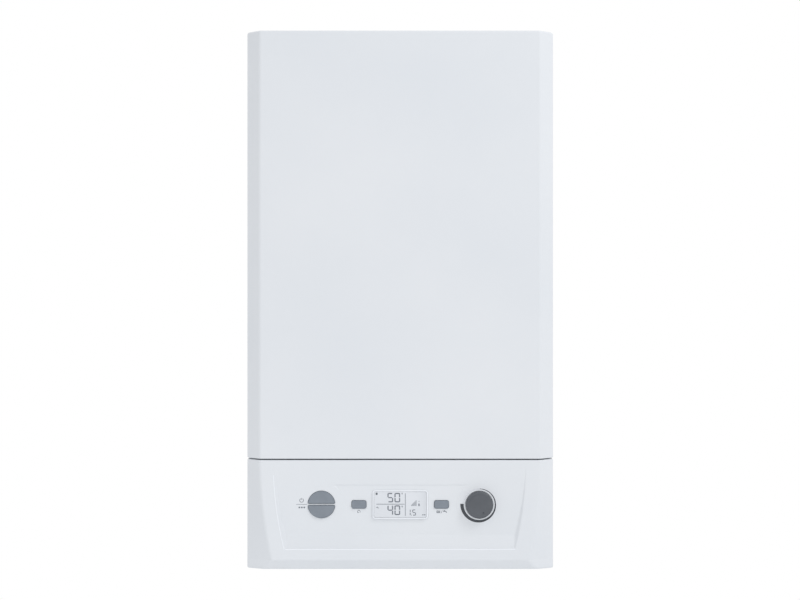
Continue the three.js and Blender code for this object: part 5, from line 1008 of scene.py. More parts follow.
figures = [([(6.6, 70), (6.6, 99)], 0.7), ([(-31, 85), (5.6, 85)], 0.7)]
figures += digit_strokes("5", -15.8, 88.1, 5.9, 10.8, 1.5) + digit_strokes("0", -6.7, 88.1, 5.9, 10.8, 1.5)
figures += digit_strokes("4", -15.8, 71.6, 5.9, 11.2, 1.5) + digit_strokes("0", -6.7, 71.6, 5.9, 11.2, 1.5)
figures += digit_strokes("5", 16.2, 70.8, 3.7, 6.8, 1.0)
figures += [([(13, 77.8), (13, 74.7)], 1.0), ([(13, 73.9), (13, 70.8)], 1.0)]
figures += [([(14.3, 70.8), (15, 70.8)], 1.0)]
figures += [(arc_stroke(2.6, z, 0.7, 0, 360), 0.5) for z in (98.8, 82)]
figures += [([(-31.6, z), (-29.2, z)], 0.8) for z in (99.5, 98.5, 97.5)]
figures += [([(-31.2, 99.8), (-31.2, 97.2)], 0.9)]
figures += [([(-31, 80.8), (-28.6, 80.8), (-28.6, 79.4)], 0.8), ([(-30, 81.8), (-29.6, 80.8)], 0.6)]
figures += [([(14.6 + 1.5 * i, 82.8), (14.6 + 1.5 * i, 84.4 + 1.4 * i)], 0.8) for i in range(5)]
figures += [([(24.4, 82.6), (24.4, 85.8)], 1.7), ([(24.4, 88), (24.4, 89.2)], 0.8)]
figures += [([(28.6, 71.2), (30.2, 71.2)], 1.2), ([(31, 71.2), (32.8, 71.2)], 1.2)]
draw_marks("display_figures", figures, lambda x, z: lens_front, "control_box", print_ink)
print("display figures:", len(figures), "strokes")

# %% [markdown]
# ## Painted highlights on the panel's edges
# The display's frame has a painted highlight on its flat top, a strip of brighter white, and a fine painted
# highlight follows the left wall and the foot of the recess. Both stand in for the light these edges catch,
# and both are laid on like the printed marks, so they need no cut in the panel.

# %% Painted highlights on the edges
RIM_HIGHLIGHT_GAP, RIM_HIGHLIGHT_WIDTH = 0.1, 1.3
HIGHLIGHT_LINE_WIDTH, HIGHLIGHT_LINE_OUT = 1.1, 1.3
# A ring of brighter white on the display rim's flat top: a painted highlight.
inner_rim_highlight, rim_highlight_y = bmesh.new(), CONTROL_Y - RIM_HEIGHT - INK
rim_highlight_edges = [grown(glass_outline, out * MM) for out in (RIM_HIGHLIGHT_GAP, RIM_HIGHLIGHT_GAP + RIM_HIGHLIGHT_WIDTH)]
add_rows(inner_rim_highlight, [[(p.x, rim_highlight_y, CONTROL_Z + p.y) for p in edge] for edge in rim_highlight_edges], closed=True)
face_front(inner_rim_highlight)
finish_piece("display_rim_highlight", inner_rim_highlight, "control_box", highlight_paint)
# A thin line of brighter white along the left wall and the foot of the recess: a painted highlight where these
# edges catch the light.
highlight_levels = [RECESS_BOTTOM + i * 3 * MM for i in range(33)]
wall_highlight = [(-recess_half(z) / MM - HIGHLIGHT_LINE_OUT, z / MM) for z in highlight_levels]
foot_half, foot_z = recess_half(RECESS_BOTTOM) / MM, RECESS_BOTTOM / MM - 0.2
foot_highlight = [(foot_half * (2 * i / 40 - 1), foot_z) for i in range(41)]
draw_marks(
    "recess_edge_highlight", [(wall_highlight, 0.8), (foot_highlight, HIGHLIGHT_LINE_WIDTH)], lambda x, z: FRONT_Y + chin_depth(z),
    "control_box", highlight_paint,
)
# Both counts are of painted highlights: the ring on the display rim and the line along the recess edge.
print("bright edges: an inlay of", len(glass_outline), "points, a bead of", len(wall_highlight) + len(foot_highlight))

# %% [markdown]
# ## Pictograms on the panel
# The printed pictograms are plain drawings: a power sign and three bars beside the half-moons, a turning
# arrow under the left button, and a radiator, a stroke and a tap under the right one.

# %% Pictograms
power_x, power_z = -128, 89.9
marks = [(arc_stroke(power_x, power_z, 2.5, 120, 420), 0.7)]
marks += [([(power_x, power_z + 0.6), (power_x, power_z + 3.1)], 0.7)]
marks += [([(-135, 84.6), (-121, 84.6)], 0.5)]
marks += [([(-132 + 3.2 * i, 80.6), (-129.9 + 3.2 * i, 80.6)], 1.9) for i in range(3)]
marks += [(arc_stroke(-53.6, 75.2, 1.7, -50, 230), 0.55)]
marks += [([(-55.6, 74.6), (-54.7, 73.4), (-53.6, 74.2)], 0.55)]
marks += [([(47.6 + 1.3 * i, 73.2), (47.6 + 1.3 * i, 76.4)], 0.75) for i in range(4)]
marks += [([(47.2, 73.8), (51.9, 73.8)], 0.45), ([(47.2, 75.9), (51.9, 75.9)], 0.45)]
marks += [([(53.1, 73), (54.5, 76.6)], 0.5)]
marks += [([(55.8, 75.4), (59.2, 75.4), (59.9, 74.8), (59.9, 73.6)], 0.9)]
marks += [([(57.3, 75.4), (57.3, 76.7)], 0.6)]
marks += [([(56.3, 76.8), (58.3, 76.8)], 0.5)]
draw_marks("panel_pictograms", marks, panel_y, "control_box", print_ink)
print("pictograms:", len(marks), "strokes")

# %% [markdown]
# ## Knob, ring and scale
# The knob is turned on a lathe in real life, so it is a profile spun round its axis here: a flat face, a
# slightly raised rim and a straight skirt. The pointer is a small round dimple near the rim. Round the knob
# lies a light ring, and outside that a dark scale that widens clockwise, the more heat the wider.

# %% Lathe
def add_lathe(mesh_builder, profile, centre, axis="y", steps=64, start=0.0):
    """Spins a profile of (radius, place) in mm round an axis. Points on the axis close the shape."""
    turns = [start + 2 * math.pi * i / steps for i in range(steps)]
    rows = []
    for radius, place in profile:
        row = []
        for a in turns:
            u, v, w = radius * MM * math.cos(a), radius * MM * math.sin(a), place * MM
            offset = {"x": (w, u, v), "y": (u, w, v), "z": (u, v, w)}[axis]
            row.append(Vector(centre) + Vector(offset))
        rows.append([row[0]] if radius == 0 else row)
    made = [[mesh_builder.verts.new(p) for p in row] for row in rows]
    for first, second in zip(made, made[1:]):
        if len(first) == 1 and len(second) == 1:
            continue
        full = len(second) if len(first) == 1 else len(first)
        first = first * full if len(first) == 1 else first
        second = second * full if len(second) == 1 else second
        add_strip(mesh_builder, first, second, closed=True)
    return made


# %% Knob
knob_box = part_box("rotary_knob")
KNOB_CENTRE = (KNOB_X, knob_box[0].y, CONTROL_Z)
POINTER_ANGLE, POINTER_RADIUS, DENT_RADIUS = math.radians(154), 11.4, 1.5
face_profile = [
    (0, 0.62), (12.2, 0.62), (12.9, 0.56), (13.6, 0.36), (14.6, 0.12), (15.6, 0.02), (16.2, 0.06),
    (16.8, 0.3), (17.2, 0.75), (17.42, 1.4), (17.5, 2.2), (17.5, 7.6), (17.3, 7.75), (6, 7.75), (6, 14.9),
    (0, 14.9),
]
knob = bmesh.new()
add_lathe(knob, face_profile, KNOB_CENTRE, steps=96)
bmesh.ops.recalc_face_normals(knob, faces=knob.faces)
knob = finish_piece("knob_cap", knob, "knob", knob_plastic, ["rotary_knob"], corner=40)
dent = bmesh.new()
pointer_x = KNOB_X + POINTER_RADIUS * MM * math.sin(POINTER_ANGLE)
pointer_z = CONTROL_Z + POINTER_RADIUS * MM * math.cos(POINTER_ANGLE)
dent_turns = [math.radians(a) for a in range(15, 180, 15)]
dent_profile = [(DENT_RADIUS * math.sin(a), -DENT_RADIUS * math.cos(a)) for a in dent_turns]
dent_profile = [(0, -DENT_RADIUS)] + dent_profile + [(0, DENT_RADIUS)]
add_lathe(dent, dent_profile, (pointer_x, KNOB_CENTRE[1], pointer_z), steps=32)
bmesh.ops.recalc_face_normals(dent, faces=dent.faces)
dent_mesh = bpy.data.meshes.new("pointer_dent")
dent.to_mesh(dent_mesh)
dent.free()
pointer_dent = bpy.data.objects.new("pointer_dent", dent_mesh)
dimple = knob.modifiers.new("pointer", "BOOLEAN")
dimple.object, dimple.operation, dimple.solver = pointer_dent, "DIFFERENCE", "EXACT"
knob.modifiers.new("flat_faces", "WEIGHTED_NORMAL").keep_sharp = True
bpy.context.scene.collection.objects.link(pointer_dent)
bpy.context.view_layer.update()
depsgraph = bpy.context.evaluated_depsgraph_get()
carved = bpy.data.meshes.new_from_object(knob.evaluated_get(depsgraph))
knob.modifiers.clear()
knob.data = carved
bpy.data.objects.remove(pointer_dent)
print("knob:", len(knob.data.polygons), "faces, pointer at", round(math.degrees(POINTER_ANGLE)), "degrees")

# %% Ring and scale
ring = bmesh.new()
ring_profile = [
    (17.9, 1.25), (17.9, 0.3), (18.1, 0.06), (18.4, 0), (19, 0), (19.3, 0.08), (19.5, 0.35), (19.5, 1.25),
    (17.9, 1.25),
]
add_lathe(ring, ring_profile, (KNOB_X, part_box("knob_ring")[0].y, CONTROL_Z), steps=96)
bmesh.ops.recalc_face_normals(ring, faces=ring.faces)
finish_piece("knob_trim_ring", ring, "control_box", fascia_plastic, ["knob_ring"], corner=60)

SCALE_START, SCALE_END, SCALE_STEPS, SCALE_INNER = 2, 272, 90, 20.2
SCALE_OUTER = [(0, 20.6), (90, 21.8), (180, 23.6), (272, 24.6)]


def scale_radius(angle):
    """The scale's outer radius at a clockwise angle from the top."""
    for (a, low), (b, high) in zip(SCALE_OUTER, SCALE_OUTER[1:]):
        if angle <= b:
            return low + (high - low) * (angle - a) / (b - a)
    return SCALE_OUTER[-1][1]


scale = bmesh.new()
rows = []
for share in (0, 0.33, 0.67, 1):
    row = []
    for i in range(SCALE_STEPS + 1):
        angle = SCALE_START + (SCALE_END - SCALE_START) * i / SCALE_STEPS
        radius = (SCALE_INNER + share * (scale_radius(angle) - SCALE_INNER)) * MM
        x = KNOB_X + radius * math.sin(math.radians(angle))
        z = CONTROL_Z + radius * math.cos(math.radians(angle))
        row.append((x, panel_y(x, z) - INK, z))
    rows.append(row)
add_rows(scale, rows)
face_front(scale)
finish_piece("knob_scale", scale, "control_box", scale_ink)
print("scale from", SCALE_START, "to", SCALE_END, "degrees")

# %% [markdown]
# ## Shapes in millimetres
# The parts behind the cover are mostly boxes, turned shapes, bent tubes and bolts, so each of these gets
# one short function that takes plain millimetres. A piece is then a list of such shapes in one mesh, closed
# by one call that points the faces outward and rounds the edges.

# %% Boxes, turned shapes and bolts
def add_box(mesh_builder, low, high):
    """A box between two corners."""
    corners = [(low[0], low[1]), (high[0], low[1]), (high[0], high[1]), (low[0], high[1])]
    rows = [[(x * MM, y * MM, z * MM) for x, y in corners] for z in (low[2], high[2])]
    for row in add_rows(mesh_builder, rows, closed=True):
        mesh_builder.faces.new(row)


def add_turned(mesh_builder, profile, centre, axis="y", steps=48, start=0.0):
    """A lathe whose centre is in millimetres too."""
    add_lathe(mesh_builder, profile, [c * MM for c in centre], axis, steps, start)


def add_fin(mesh_builder, centre, angle, radii, half, ys):
    """A radial fin round an axis along y through centre (x, z)."""
    c, s = math.cos(math.radians(angle)), math.sin(math.radians(angle))
    corners = [(radii[0], -half), (radii[1], -half), (radii[1], half), (radii[0], half)]
    corners = [(centre[0] + u * c - v * s, centre[1] + u * s + v * c) for u, v in corners]
    rows = [[(x * MM, y * MM, z * MM) for x, z in corners] for y in ys]
    for row in add_rows(mesh_builder, rows, closed=True):
        mesh_builder.faces.new(row)


def add_bolt(mesh_builder, place, size, way=-1, axis="y"):
    """A flanged hexagon bolt whose head points along the axis, forward or back."""
    flange = [(0, 0), (1.6 * size, 0), (1.6 * size, 0.5), (1.3 * size, 1), (0, 1)]
    top = 1.15 + size
    head = [(0, 0.9), (1.12 * size, 0.9), (1.12 * size, top - 0.25), (0.98 * size, top), (0, top)]
    add_turned(mesh_builder, [(r, way * p) for r, p in flange], place, axis, 24)
    add_turned(mesh_builder, [(r, way * p) for r, p in head], place, axis, 6)


def close_piece(name, mesh_builder, body, material, replaces=(), rounding=0.0, corner=35):
    """Closes a piece made of whole shapes, with rounded edges where a radius is given."""
    bmesh.ops.recalc_face_normals(mesh_builder, faces=mesh_builder.faces)
    piece = finish_piece(name, mesh_builder, body, material, replaces, corner)
    if rounding:
        return round_edges(piece, rounding * MM, corner=corner)
    piece.modifiers.new("flat_faces", "WEIGHTED_NORMAL").keep_sharp = True
    return piece


def bolt_piece(name, places, size, body="root", way=-1, axis="y"):
    """All bolts of one joint as one piece."""
    bolts = bmesh.new()
    for place in places:
        add_bolt(bolts, place, size, way, axis)
    return close_piece(name, bolts, body, zinc_steel, corner=25)


def round_places(centre, radius, count, y, start=0.0):
    """Places on a circle round an axis along y through centre (x, z)."""
    turns = [math.radians(start + 360 * i / count) for i in range(count)]
    return [(centre[0] + radius * math.cos(a), y, centre[1] + radius * math.sin(a)) for a in turns]


print("shape helpers ready")

# %% [markdown]
# ## Bent tubes
# A copper riser is straight stock, bent over a former, so its section stays round along the whole run. The
# path is a smooth curve through a few points. At each step a ring of points stands square to the path;
# carrying the ring's direction from step to step keeps the tube from twisting.

# %% Tubes
def smooth_path(points, steps=10):
    """A centripetal Catmull-Rom curve through points, with `steps` pieces to a span."""
    knots = [Vector(p) for p in points]
    knots = [2 * knots[0] - knots[1]] + knots + [2 * knots[-1] - knots[-2]]
    path = []
    for p0, p1, p2, p3 in zip(knots, knots[1:], knots[2:], knots[3:]):
        d0, d1, d2 = ((b - a).length ** 0.5 for a, b in ((p0, p1), (p1, p2), (p2, p3)))
        t1 = ((p1 - p0) / d0 - (p2 - p0) / (d0 + d1) + (p2 - p1) / d1) * d1
        t2 = ((p2 - p1) / d1 - (p3 - p1) / (d1 + d2) + (p3 - p2) / d2) * d1
        for i in range(steps):
            t = i / steps
            cubic = (2 * p1 - 2 * p2 + t1 + t2) * t**3 + (3 * p2 - 3 * p1 - 2 * t1 - t2) * t**2
            path.append(p1 + t1 * t + cubic)
    return path + [knots[-2]]


def add_tube(mesh_builder, points, radius, wall, sides=24):
    """A tube with open ends along a smooth path."""
    path = smooth_path(points)
    aside = (path[1] - path[0]).normalized().orthogonal().normalized()
    rings = []
    first_run, last_run = (Vector(points[k + 1]) - Vector(points[k]) for k in (0, -2))
    ends = {0: first_run, len(path) - 1: last_run}
    for i, point in enumerate(path):
        ahead = path[min(i + 1, len(path) - 1)] - path[max(i - 1, 0)]
        run = ends.get(i, ahead).normalized()
        aside = (aside - run * aside.dot(run)).normalized()
        rings.append((point, aside.copy(), run.cross(aside)))

    def ring(index, size):
        point, u, v = rings[index]
        turns = [2 * math.pi * k / sides for k in range(sides)]
        return [(point + (u * math.cos(a) + v * math.sin(a)) * size) * MM for a in turns]

    inner = radius - wall
    rows = [ring(2, inner), ring(0, inner)] + [ring(i, radius) for i in range(len(rings))]
    rows += [ring(-1, inner), ring(-3, inner)]
    made = add_rows(mesh_builder, rows, closed=True)
    mesh_builder.faces.new(made[0])
    mesh_builder.faces.new(made[-1])


def add_nut(mesh_builder, place, bore, across, low, high):
    """A hexagon nut round a pipe along z, with chamfered corners."""
    inner = bore / math.cos(math.pi / 6)
    profile = [(inner, low), (across - 0.9, low), (across, low + 0.7), (across, high - 0.7)]
    profile += [(across - 0.9, high), (inner, high), (inner, low)]
    add_turned(mesh_builder, profile, (*place, 0), "z", 6, math.radians(15))


print("tube helpers ready")

# %% [markdown]
# ## Casing behind the cover
# Side panels, top, bottom, rails and brackets are folded sheet, and their CAD shape is already right. Sheet
# is never knife-sharp though: the press rounds its edges a little. A Weld modifier joins the split corners
# of the CAD mesh, and a small Bevel then gives every edge a highlight.

# %% Soft edges on folded and moulded CAD parts
SOFT_EDGES = {
    0.35: [
        "side_panel_left", "side_panel_right", "top_panel", "bottom_plate", "back_frame", "wall_bracket",
        "cover_rail", "exchanger_bracket", "hinge_bracket_left", "hinge_bracket_right",
    ],
    0.8: ["control_tray", "tray_lid", "air_silencer", "gas_air_mixer"],
    1.5: ["flow_manifold", "return_manifold"],
}
for width, names in SOFT_EDGES.items():
    for name in names:
        nodes[name].modifiers.new("weld", "WELD").merge_threshold = 0.01 * MM
        round_edges(nodes[name], width * MM)
print("soft edges on", sum(len(names) for names in SOFT_EDGES.values()), "CAD parts")

# %% [markdown]
# ## Flue, top and back
# The flue socket is spun from sheet: a flange for the elbow's screws, a straight collar and a rolled lip.
# Inside it stands the inner duct, with a rubber lip seal between. Beside it sit two black caps over the
# sampling holes that a fitter uses to measure the exhaust. The back sheet has pressed beads, which stiffen
# it.

# %% Flue and top
FLUE_AXIS = (0, -150, 0)
collar = bmesh.new()
collar_profile = [
    (50.3, 690), (52.5, 690), (52.5, 700.3), (69.9, 700.3), (70.5, 700.9), (70.5, 701.8), (69.9, 702.3),
    (54.2, 702.3), (53, 702.7), (52.5, 703.8), (52.5, 714.8), (52.3, 715.5), (51.8, 715.9), (51.2, 716),
    (50.7, 715.8), (50.3, 715.2), (50.3, 690),
]
add_turned(collar, collar_profile, FLUE_AXIS, "z", 96)
close_piece("flue_socket", collar, "root", case_paint, ["flue_collar"], corner=50)
duct = bmesh.new()
duct_profile = [
    (28.5, 592), (30, 592), (30, 714.9), (29.7, 715.7), (29.2, 716), (28.7, 715.7), (28.5, 715), (28.5, 592),
]
add_turned(duct, duct_profile, FLUE_AXIS, "z", 72)
close_piece("inner_duct", duct, "root", stainless, ["flue_duct"], corner=50)
rubber = bmesh.new()
lip_profile = [(50.25, 704), (47.6, 706.2), (47.2, 708), (48.4, 708.6), (50.25, 709.6), (50.25, 704)]
add_turned(rubber, lip_profile, FLUE_AXIS, "z", 72)
cap_profile = [(0, 700.1), (9, 700.1), (9, 702), (7.6, 702.4), (7.4, 704.4), (6.9, 704.9), (0, 704.9)]
for y in (-168, -132):
    add_turned(rubber, cap_profile, (98, y, 0), "z", 40)
close_piece("seal_and_caps", rubber, "root", black_plastic, corner=40)
flange_bolts = [(x, y, 702.3) for x, _, y in round_places(FLUE_AXIS[:2], 62, 6, 0, 30)]
corner_bolts = [(side * 184, y, 700) for side in (-1, 1) for y in (-222, -28)]
bolt_piece("top_bolts", flange_bolts + corner_bolts, 2.4, way=1, axis="z")
print("flue socket, duct, seal, caps and", len(flange_bolts + corner_bolts), "bolts")

# %% Back sheet
beads = bmesh.new()
for x in (-150, -50, 50, 150):
    add_box(beads, (x - 7, -5.6, 70), (x + 7, -3.2, 560))
close_piece("back_beads", beads, "root", galvanised, rounding=1.9)
rivets = bmesh.new()
dome = [(0, -3.9), (1.4, -4), (2.3, -4.5), (2.6, -5.1)]
for side in (-1, 1):
    for z in (40, 180, 320, 460, 600, 680):
        add_turned(rivets, dome + [(0, -5.1)], (side * 191, 0, z), "y", 20)
close_piece("back_rivets", rivets, "root", zinc_steel, corner=60)
print("4 beads and 12 rivets on the back")

# %% [markdown]
# ## Connections under the casing
# Five pipes come out of the bottom in the usual order: heating flow, hot water, gas, cold water, heating
# return. Each is copper with a brass nut just inside, and a rubber grommet where it passes the plate keeps it
# from rattling and rubbing.

# %% Connection pipes, nuts and grommets
CONNECTIONS = {
    "heating_flow_pipe": (-130, 11), "hot_water_pipe": (-65, 7.5), "cold_water_pipe": (65, 7.5),
    "heating_return_pipe": (130, 11),
}
PIPE_Y, TUBE_RADIUS = -90, 9
TRAP_AXIS, TAP_AXIS = (-160, -190, 0), (98, -112, 0)
nuts = bmesh.new()
for name, (x, r) in CONNECTIONS.items():
    stub = bmesh.new()
    bore = r - 1.5
    stub_profile = [
        (bore, -23.6), (bore + 0.3, -24), (r - 0.4, -24), (r, -23.6), (r, 33.6), (bore, 33.6), (bore, -23.6),
    ]
    add_turned(stub, stub_profile, (x, PIPE_Y, 0), "z", 40)
    close_piece(name.replace("pipe", "stub"), stub, "root", copper, [name], corner=50)
    add_nut(nuts, (x, PIPE_Y), r + 0.05, r + 4, 7.6, 14.6)
close_piece("connection_nuts", nuts, "root", brass, corner=25)
grommets = bmesh.new()
PASSES = [(x, PIPE_Y, r) for x, r in CONNECTIONS.values()]
PASSES += [(0, PIPE_Y, TUBE_RADIUS), (*TRAP_AXIS[:2], 10), (*TAP_AXIS[:2], 4)]
grommet_profile = [
    (0.2, -1.6), (3.4, -1.6), (4, -1), (4, -0.05), (1.9, -0.05), (1.9, 1.25), (4, 1.25), (4, 2.2), (3.4, 2.8),
    (0.2, 2.8), (0.2, -1.6),
]
for x, y, r in PASSES:
    add_turned(grommets, [(r + out, z) for out, z in grommet_profile], (x, y, 0), "z", 40)
close_piece("grommets", grommets, "root", black_plastic, corner=40)
print(len(CONNECTIONS), "pipe ends,", len(PASSES), "grommets")

# %% [markdown]
# ## Pipes inside
# The gas pipe climbs from the middle of the bottom to the valve beside the fan, and two risers join the
# manifolds to the heat exchanger. Each path repeats the CAD pipe's points, so the finer tube lies exactly
# where the plain one was.

# %% Bent pipes
GAS_PATH = [
    (0, -90, -24), (0, -90, 0), (0, -96, 22), (0, -135, 48), (0, -150, 80), (0, -150, 118), (22, -159, 190.4),
    (79.65, -172, 208.4), (141.3, -194, 208.4), (159.3, -194, 226.4), (159.3, -194, 238.4),
]
FLOW_PATH = [
    (-85, -112, 394.7), (-85, -112, 364.7), (-91, -120, 278.7), (-100, -136, 194.35), (-100, -136, 105),
    (-100, -136, 62.3),
]
RETURN_PATH = [
    (154, -90, 188.3), (154, -90, 218.3), (132, -98, 285.5), (91, -112, 351.7), (85, -112, 380.7),
    (85, -112, 394.7),
]
for name, points in {"gas_pipe": GAS_PATH, "flow_riser": FLOW_PATH, "return_riser": RETURN_PATH}.items():
    tube = bmesh.new()
    add_tube(tube, points, TUBE_RADIUS, 1.5)
    close_piece(name + "_tube", tube, "root", copper, [name], corner=50)
riser_nuts = bmesh.new()
for x, y, low in ((-100, -136, 64), (154, -90, 190), (-85, -112, 378), (85, -112, 378), (159.3, -194, 228)):
    add_nut(riser_nuts, (x, y), TUBE_RADIUS + 0.05, 12.8, low, low + 9)
close_piece("riser_nuts", riser_nuts, "root", brass, corner=25)
print("3 bent pipes and 5 nuts")

# %% [markdown]
# ## Heat cell
# The heat exchanger is a drum of cast alloy with a water-filled wall. Castings have draft, rounded corners
# and thin webs where they need stiffness without weight. The burner door closes its front; in it runs the
# duct that feeds the mixture of gas and air, and beside it sits the glazed insulator of the ignition
# electrode.

# %% Exchanger drum
CELL, CELL_AXIS = (0, 480), (0, 0, 480)
drum = bmesh.new()
drum_profile = [
    (0, -91.5), (44, -91.5), (46.5, -90), (97, -90), (102.5, -91.5), (105, -97), (105, -207), (105.6, -208.6),
    (111.2, -209), (112, -209.8), (112, -214.2), (111.3, -215), (99, -215), (99, -96.2), (0, -96.2),
]
add_turned(drum, drum_profile, CELL_AXIS, "y", 96)
for angle in range(0, 360, 20):
    if not 70 <= angle <= 110 and not 228 <= angle <= 312:
        add_fin(drum, CELL, angle, (103, 108.6), 2, (-208, -96))
socket_profile = [
    (27, 575), (35, 575), (35, 605.6), (34.2, 607), (31, 607), (30.3, 606), (30.3, 586), (27, 586), (27, 575),
]
add_turned(drum, socket_profile, FLUE_AXIS, "z", 64)
SPOUTS = [(-85, -112, 10, 395, 424), (85, -112, 10, 395, 424), (-60, -150, 11, 345, 400)]
for x, y, outer, low, high in SPOUTS:
    bore = outer - 3
    spout = [(bore, low + 0.4), (bore + 0.4, low), (outer - 0.5, low), (outer, low + 0.5), (outer, high)]
    add_turned(drum, spout + [(bore, high), (bore, low + 0.4)], (x, y, 0), "z", 32)
close_piece("exchanger_drum", drum, "root", cast_alloy, ["exchanger_shell"], corner=40)
print("exchanger drum with webs, flue socket and three spouts")

# %% Burner door
door = bmesh.new()
door_profile = [
    (26, -215.3), (111.4, -215.3), (112, -216), (112, -221.5), (110.5, -223), (94, -224.5), (90, -229.3),
    (26, -229.3), (26, -215.3),
]
add_turned(door, door_profile, CELL_AXIS, "y", 96)
for angle in range(0, 360, 30):
    if angle != 270:
        add_fin(door, CELL, angle, (30, 92), 2, (-233, -228))
close_piece("burner_door_disc", door, "root", cast_alloy, ["burner_door"], corner=40)
mixture_duct = bmesh.new()
add_box(mixture_duct, (-28, -262.3, 365), (28, -228, 508))
close_piece("mixture_duct", mixture_duct, "root", cast_alloy, rounding=7)
bolt_piece("door_bolts", round_places(CELL, 102.5, 10, -223.4, 18), 3.4)
spark = bmesh.new()
spark_profile = [(0, -247), (1.6, -247), (1.8, -246.6), (1.8, -242), (4.2, -241.8), (4.6, -241.2)]
for y in (-240.4, -237.4, -234.4):
    spark_profile += [(4.8, y), (4.8, y + 0.8), (3.9, y + 1.4), (3.9, y + 2.2)]
spark_profile += [(4.9, -231), (4.9, -207), (1, -206.8), (1, -165), (0, -165)]
add_turned(spark, spark_profile, (34, 0, 514), "y", 32)
close_piece(
    "spark_insulator", spark, "root", ceramic_glaze, ["ignition_electrode"], corner=45,
)
spark_plate = bmesh.new()
add_box(spark_plate, (25, -231.4, 500), (60, -229.2, 528))
close_piece("spark_plate", spark_plate, "root", stainless, rounding=0.9)
bolt_piece("spark_bolts", [(52, -231.3, 506), (52, -231.3, 522)], 2.2)
sight = bmesh.new()
sight_profile = [(0, -231), (7, -231), (7.4, -232), (10.6, -232.4), (11, -231.8), (11, -229.2), (0, -229.2)]
add_turned(sight, sight_profile, (-52, 0, 522), "y", 40)
close_piece("sight_glass", sight, "root", motor_black, corner=40)
print("door, duct, 12 bolts, insulator and sight glass")

# %% [markdown]
# ## Fan and gas side
# The fan pushes the mixture up through the duct. Its housing is a spiral casting in two halves, held by a
# ring of bolts, and the motor on its front is a black drum with cooling slots. The gas valve to the right
# is a block with a magnet coil on top, a pressure plug and a few test screws.

# %% Fan housing and motor
FAN, FAN_AXIS = (45, 284.7), (45, 0, 284.7)
housing = bmesh.new()
housing_profile = [
    (6, -216.3), (64, -216.3), (67, -217.6), (68, -220.5), (68, -237), (66.8, -237.4), (66.8, -239.4),
    (68, -239.8), (68, -257.5), (67, -260.6), (64, -262.3), (43, -262.3), (41.5, -261), (6, -261),
    (6, -216.3),
]
add_turned(housing, housing_profile, FAN_AXIS, "y", 96)
close_piece("fan_drum", housing, "root", cast_alloy, ["fan_housing"], corner=40)
outlet = bmesh.new()
add_box(outlet, (-28, -262.2, 282), (28, -216.4, 357))
close_piece("fan_outlet", outlet, "root", cast_alloy, rounding=5)
flange = bmesh.new()
add_box(flange, (-35, -262.6, 356), (35, -216.2, 364.8))
close_piece("fan_flange", flange, "root", cast_alloy, rounding=2)
lugs = bmesh.new()
lug_places = round_places(FAN, 69, 6, -244, 20)[:1] + round_places(FAN, 69, 6, -244, 200)[:3]
lug_profile = [(0, -234), (6, -234), (6.4, -235), (6.4, -243.5), (6, -244), (0, -244)]
for x, _, z in lug_places:
    add_turned(lugs, lug_profile, (x, 0, z), "y", 32)
close_piece("fan_lugs", lugs, "root", cast_alloy, corner=40)
bolt_piece("fan_bolts", lug_places + [(-31, -262.6, 360.4), (31, -262.6, 360.4)], 2.2)
motor = bmesh.new()
motor_profile = [
    (0, -290), (8, -290), (9, -290.6), (15, -290.6), (16, -289.8), (34, -289.8), (38, -288.6), (40, -285.5),
    (40, -264.6), (39, -262.6), (0, -262.6),
]
add_turned(motor, motor_profile, FAN_AXIS, "y", 72)
close_piece("fan_motor_drum", motor, "root", motor_black, ["fan_motor"], corner=35)
fins = bmesh.new()
for angle in range(0, 360, 15):
    add_fin(fins, FAN, angle, (19, 34), 1, (-290.6, -288))
add_box(fins, (66, -287, 300), (92, -268, 318))
close_piece("fan_motor_ribs", fins, "root", motor_black, rounding=0.5)
print("fan housing, outlet, motor,", len(lug_places), "lugs")

# %% Gas valve
valve = bmesh.new()
add_box(valve, (129.3, -220, 250.7), (185.3, -168, 318.7))
add_box(valve, (184, -205, 254), (196.6, -183, 315.4))
add_box(valve, (195.5, -220, 245.7), (198.5, -168, 323.7))
close_piece("gas_valve_block", valve, "root", cast_alloy, ["gas_valve"], rounding=1.6)
coil = bmesh.new()
coil_profile = [
    (0, 336.7), (5, 336.7), (5.4, 336), (16, 336), (17.6, 335), (18, 333), (18, 319.5), (17, 318), (0, 318),
]
add_turned(coil, coil_profile, (149.3, -194, 0), "z", 48)
plug_profile = [
    (0, -234), (8, -234), (9, -233), (9, -230), (13, -229.6), (14, -228.6), (14, -219), (0, -219),
]
add_turned(coil, plug_profile, (165.3, 0, 292.7), "y", 48)
add_box(coil, (133, -229, 322), (143, -206, 332))
close_piece("gas_valve_coil", coil, "root", motor_black, corner=35)
foot = bmesh.new()
inlet_profile = [(7.5, 238.8), (11.4, 238.8), (12, 239.6), (12, 251.5), (7.5, 251.5), (7.5, 238.8)]
add_turned(foot, inlet_profile, (159.3, -194, 0), "z", 6)
add_turned(foot, [(0, -223), (4, -223), (4.5, -222.4), (4.5, -219), (0, -219)], (140, 0, 266), "y", 6)
add_turned(foot, [(0, -222.4), (3, -222.4), (3.4, -222), (3.4, -219), (0, -219)], (156, 0, 266), "y", 24)
close_piece("gas_valve_fittings", foot, "root", brass, corner=25)
bolt_piece("gas_valve_bolts", [(x, -220, z) for x in (134, 180) for z in (256, 313)], 2.0)
print("gas valve with coil, plug, inlet and test screws")

# %% [markdown]
# ## Expansion vessel
# A flat vessel of two pressed shells, welded round the middle, takes up the water's expansion behind the heat
# cell. Its faces come from one outline that shrinks towards the front and back and is slightly dished in the
# middle; the weld is a thin ring that stands out all round.

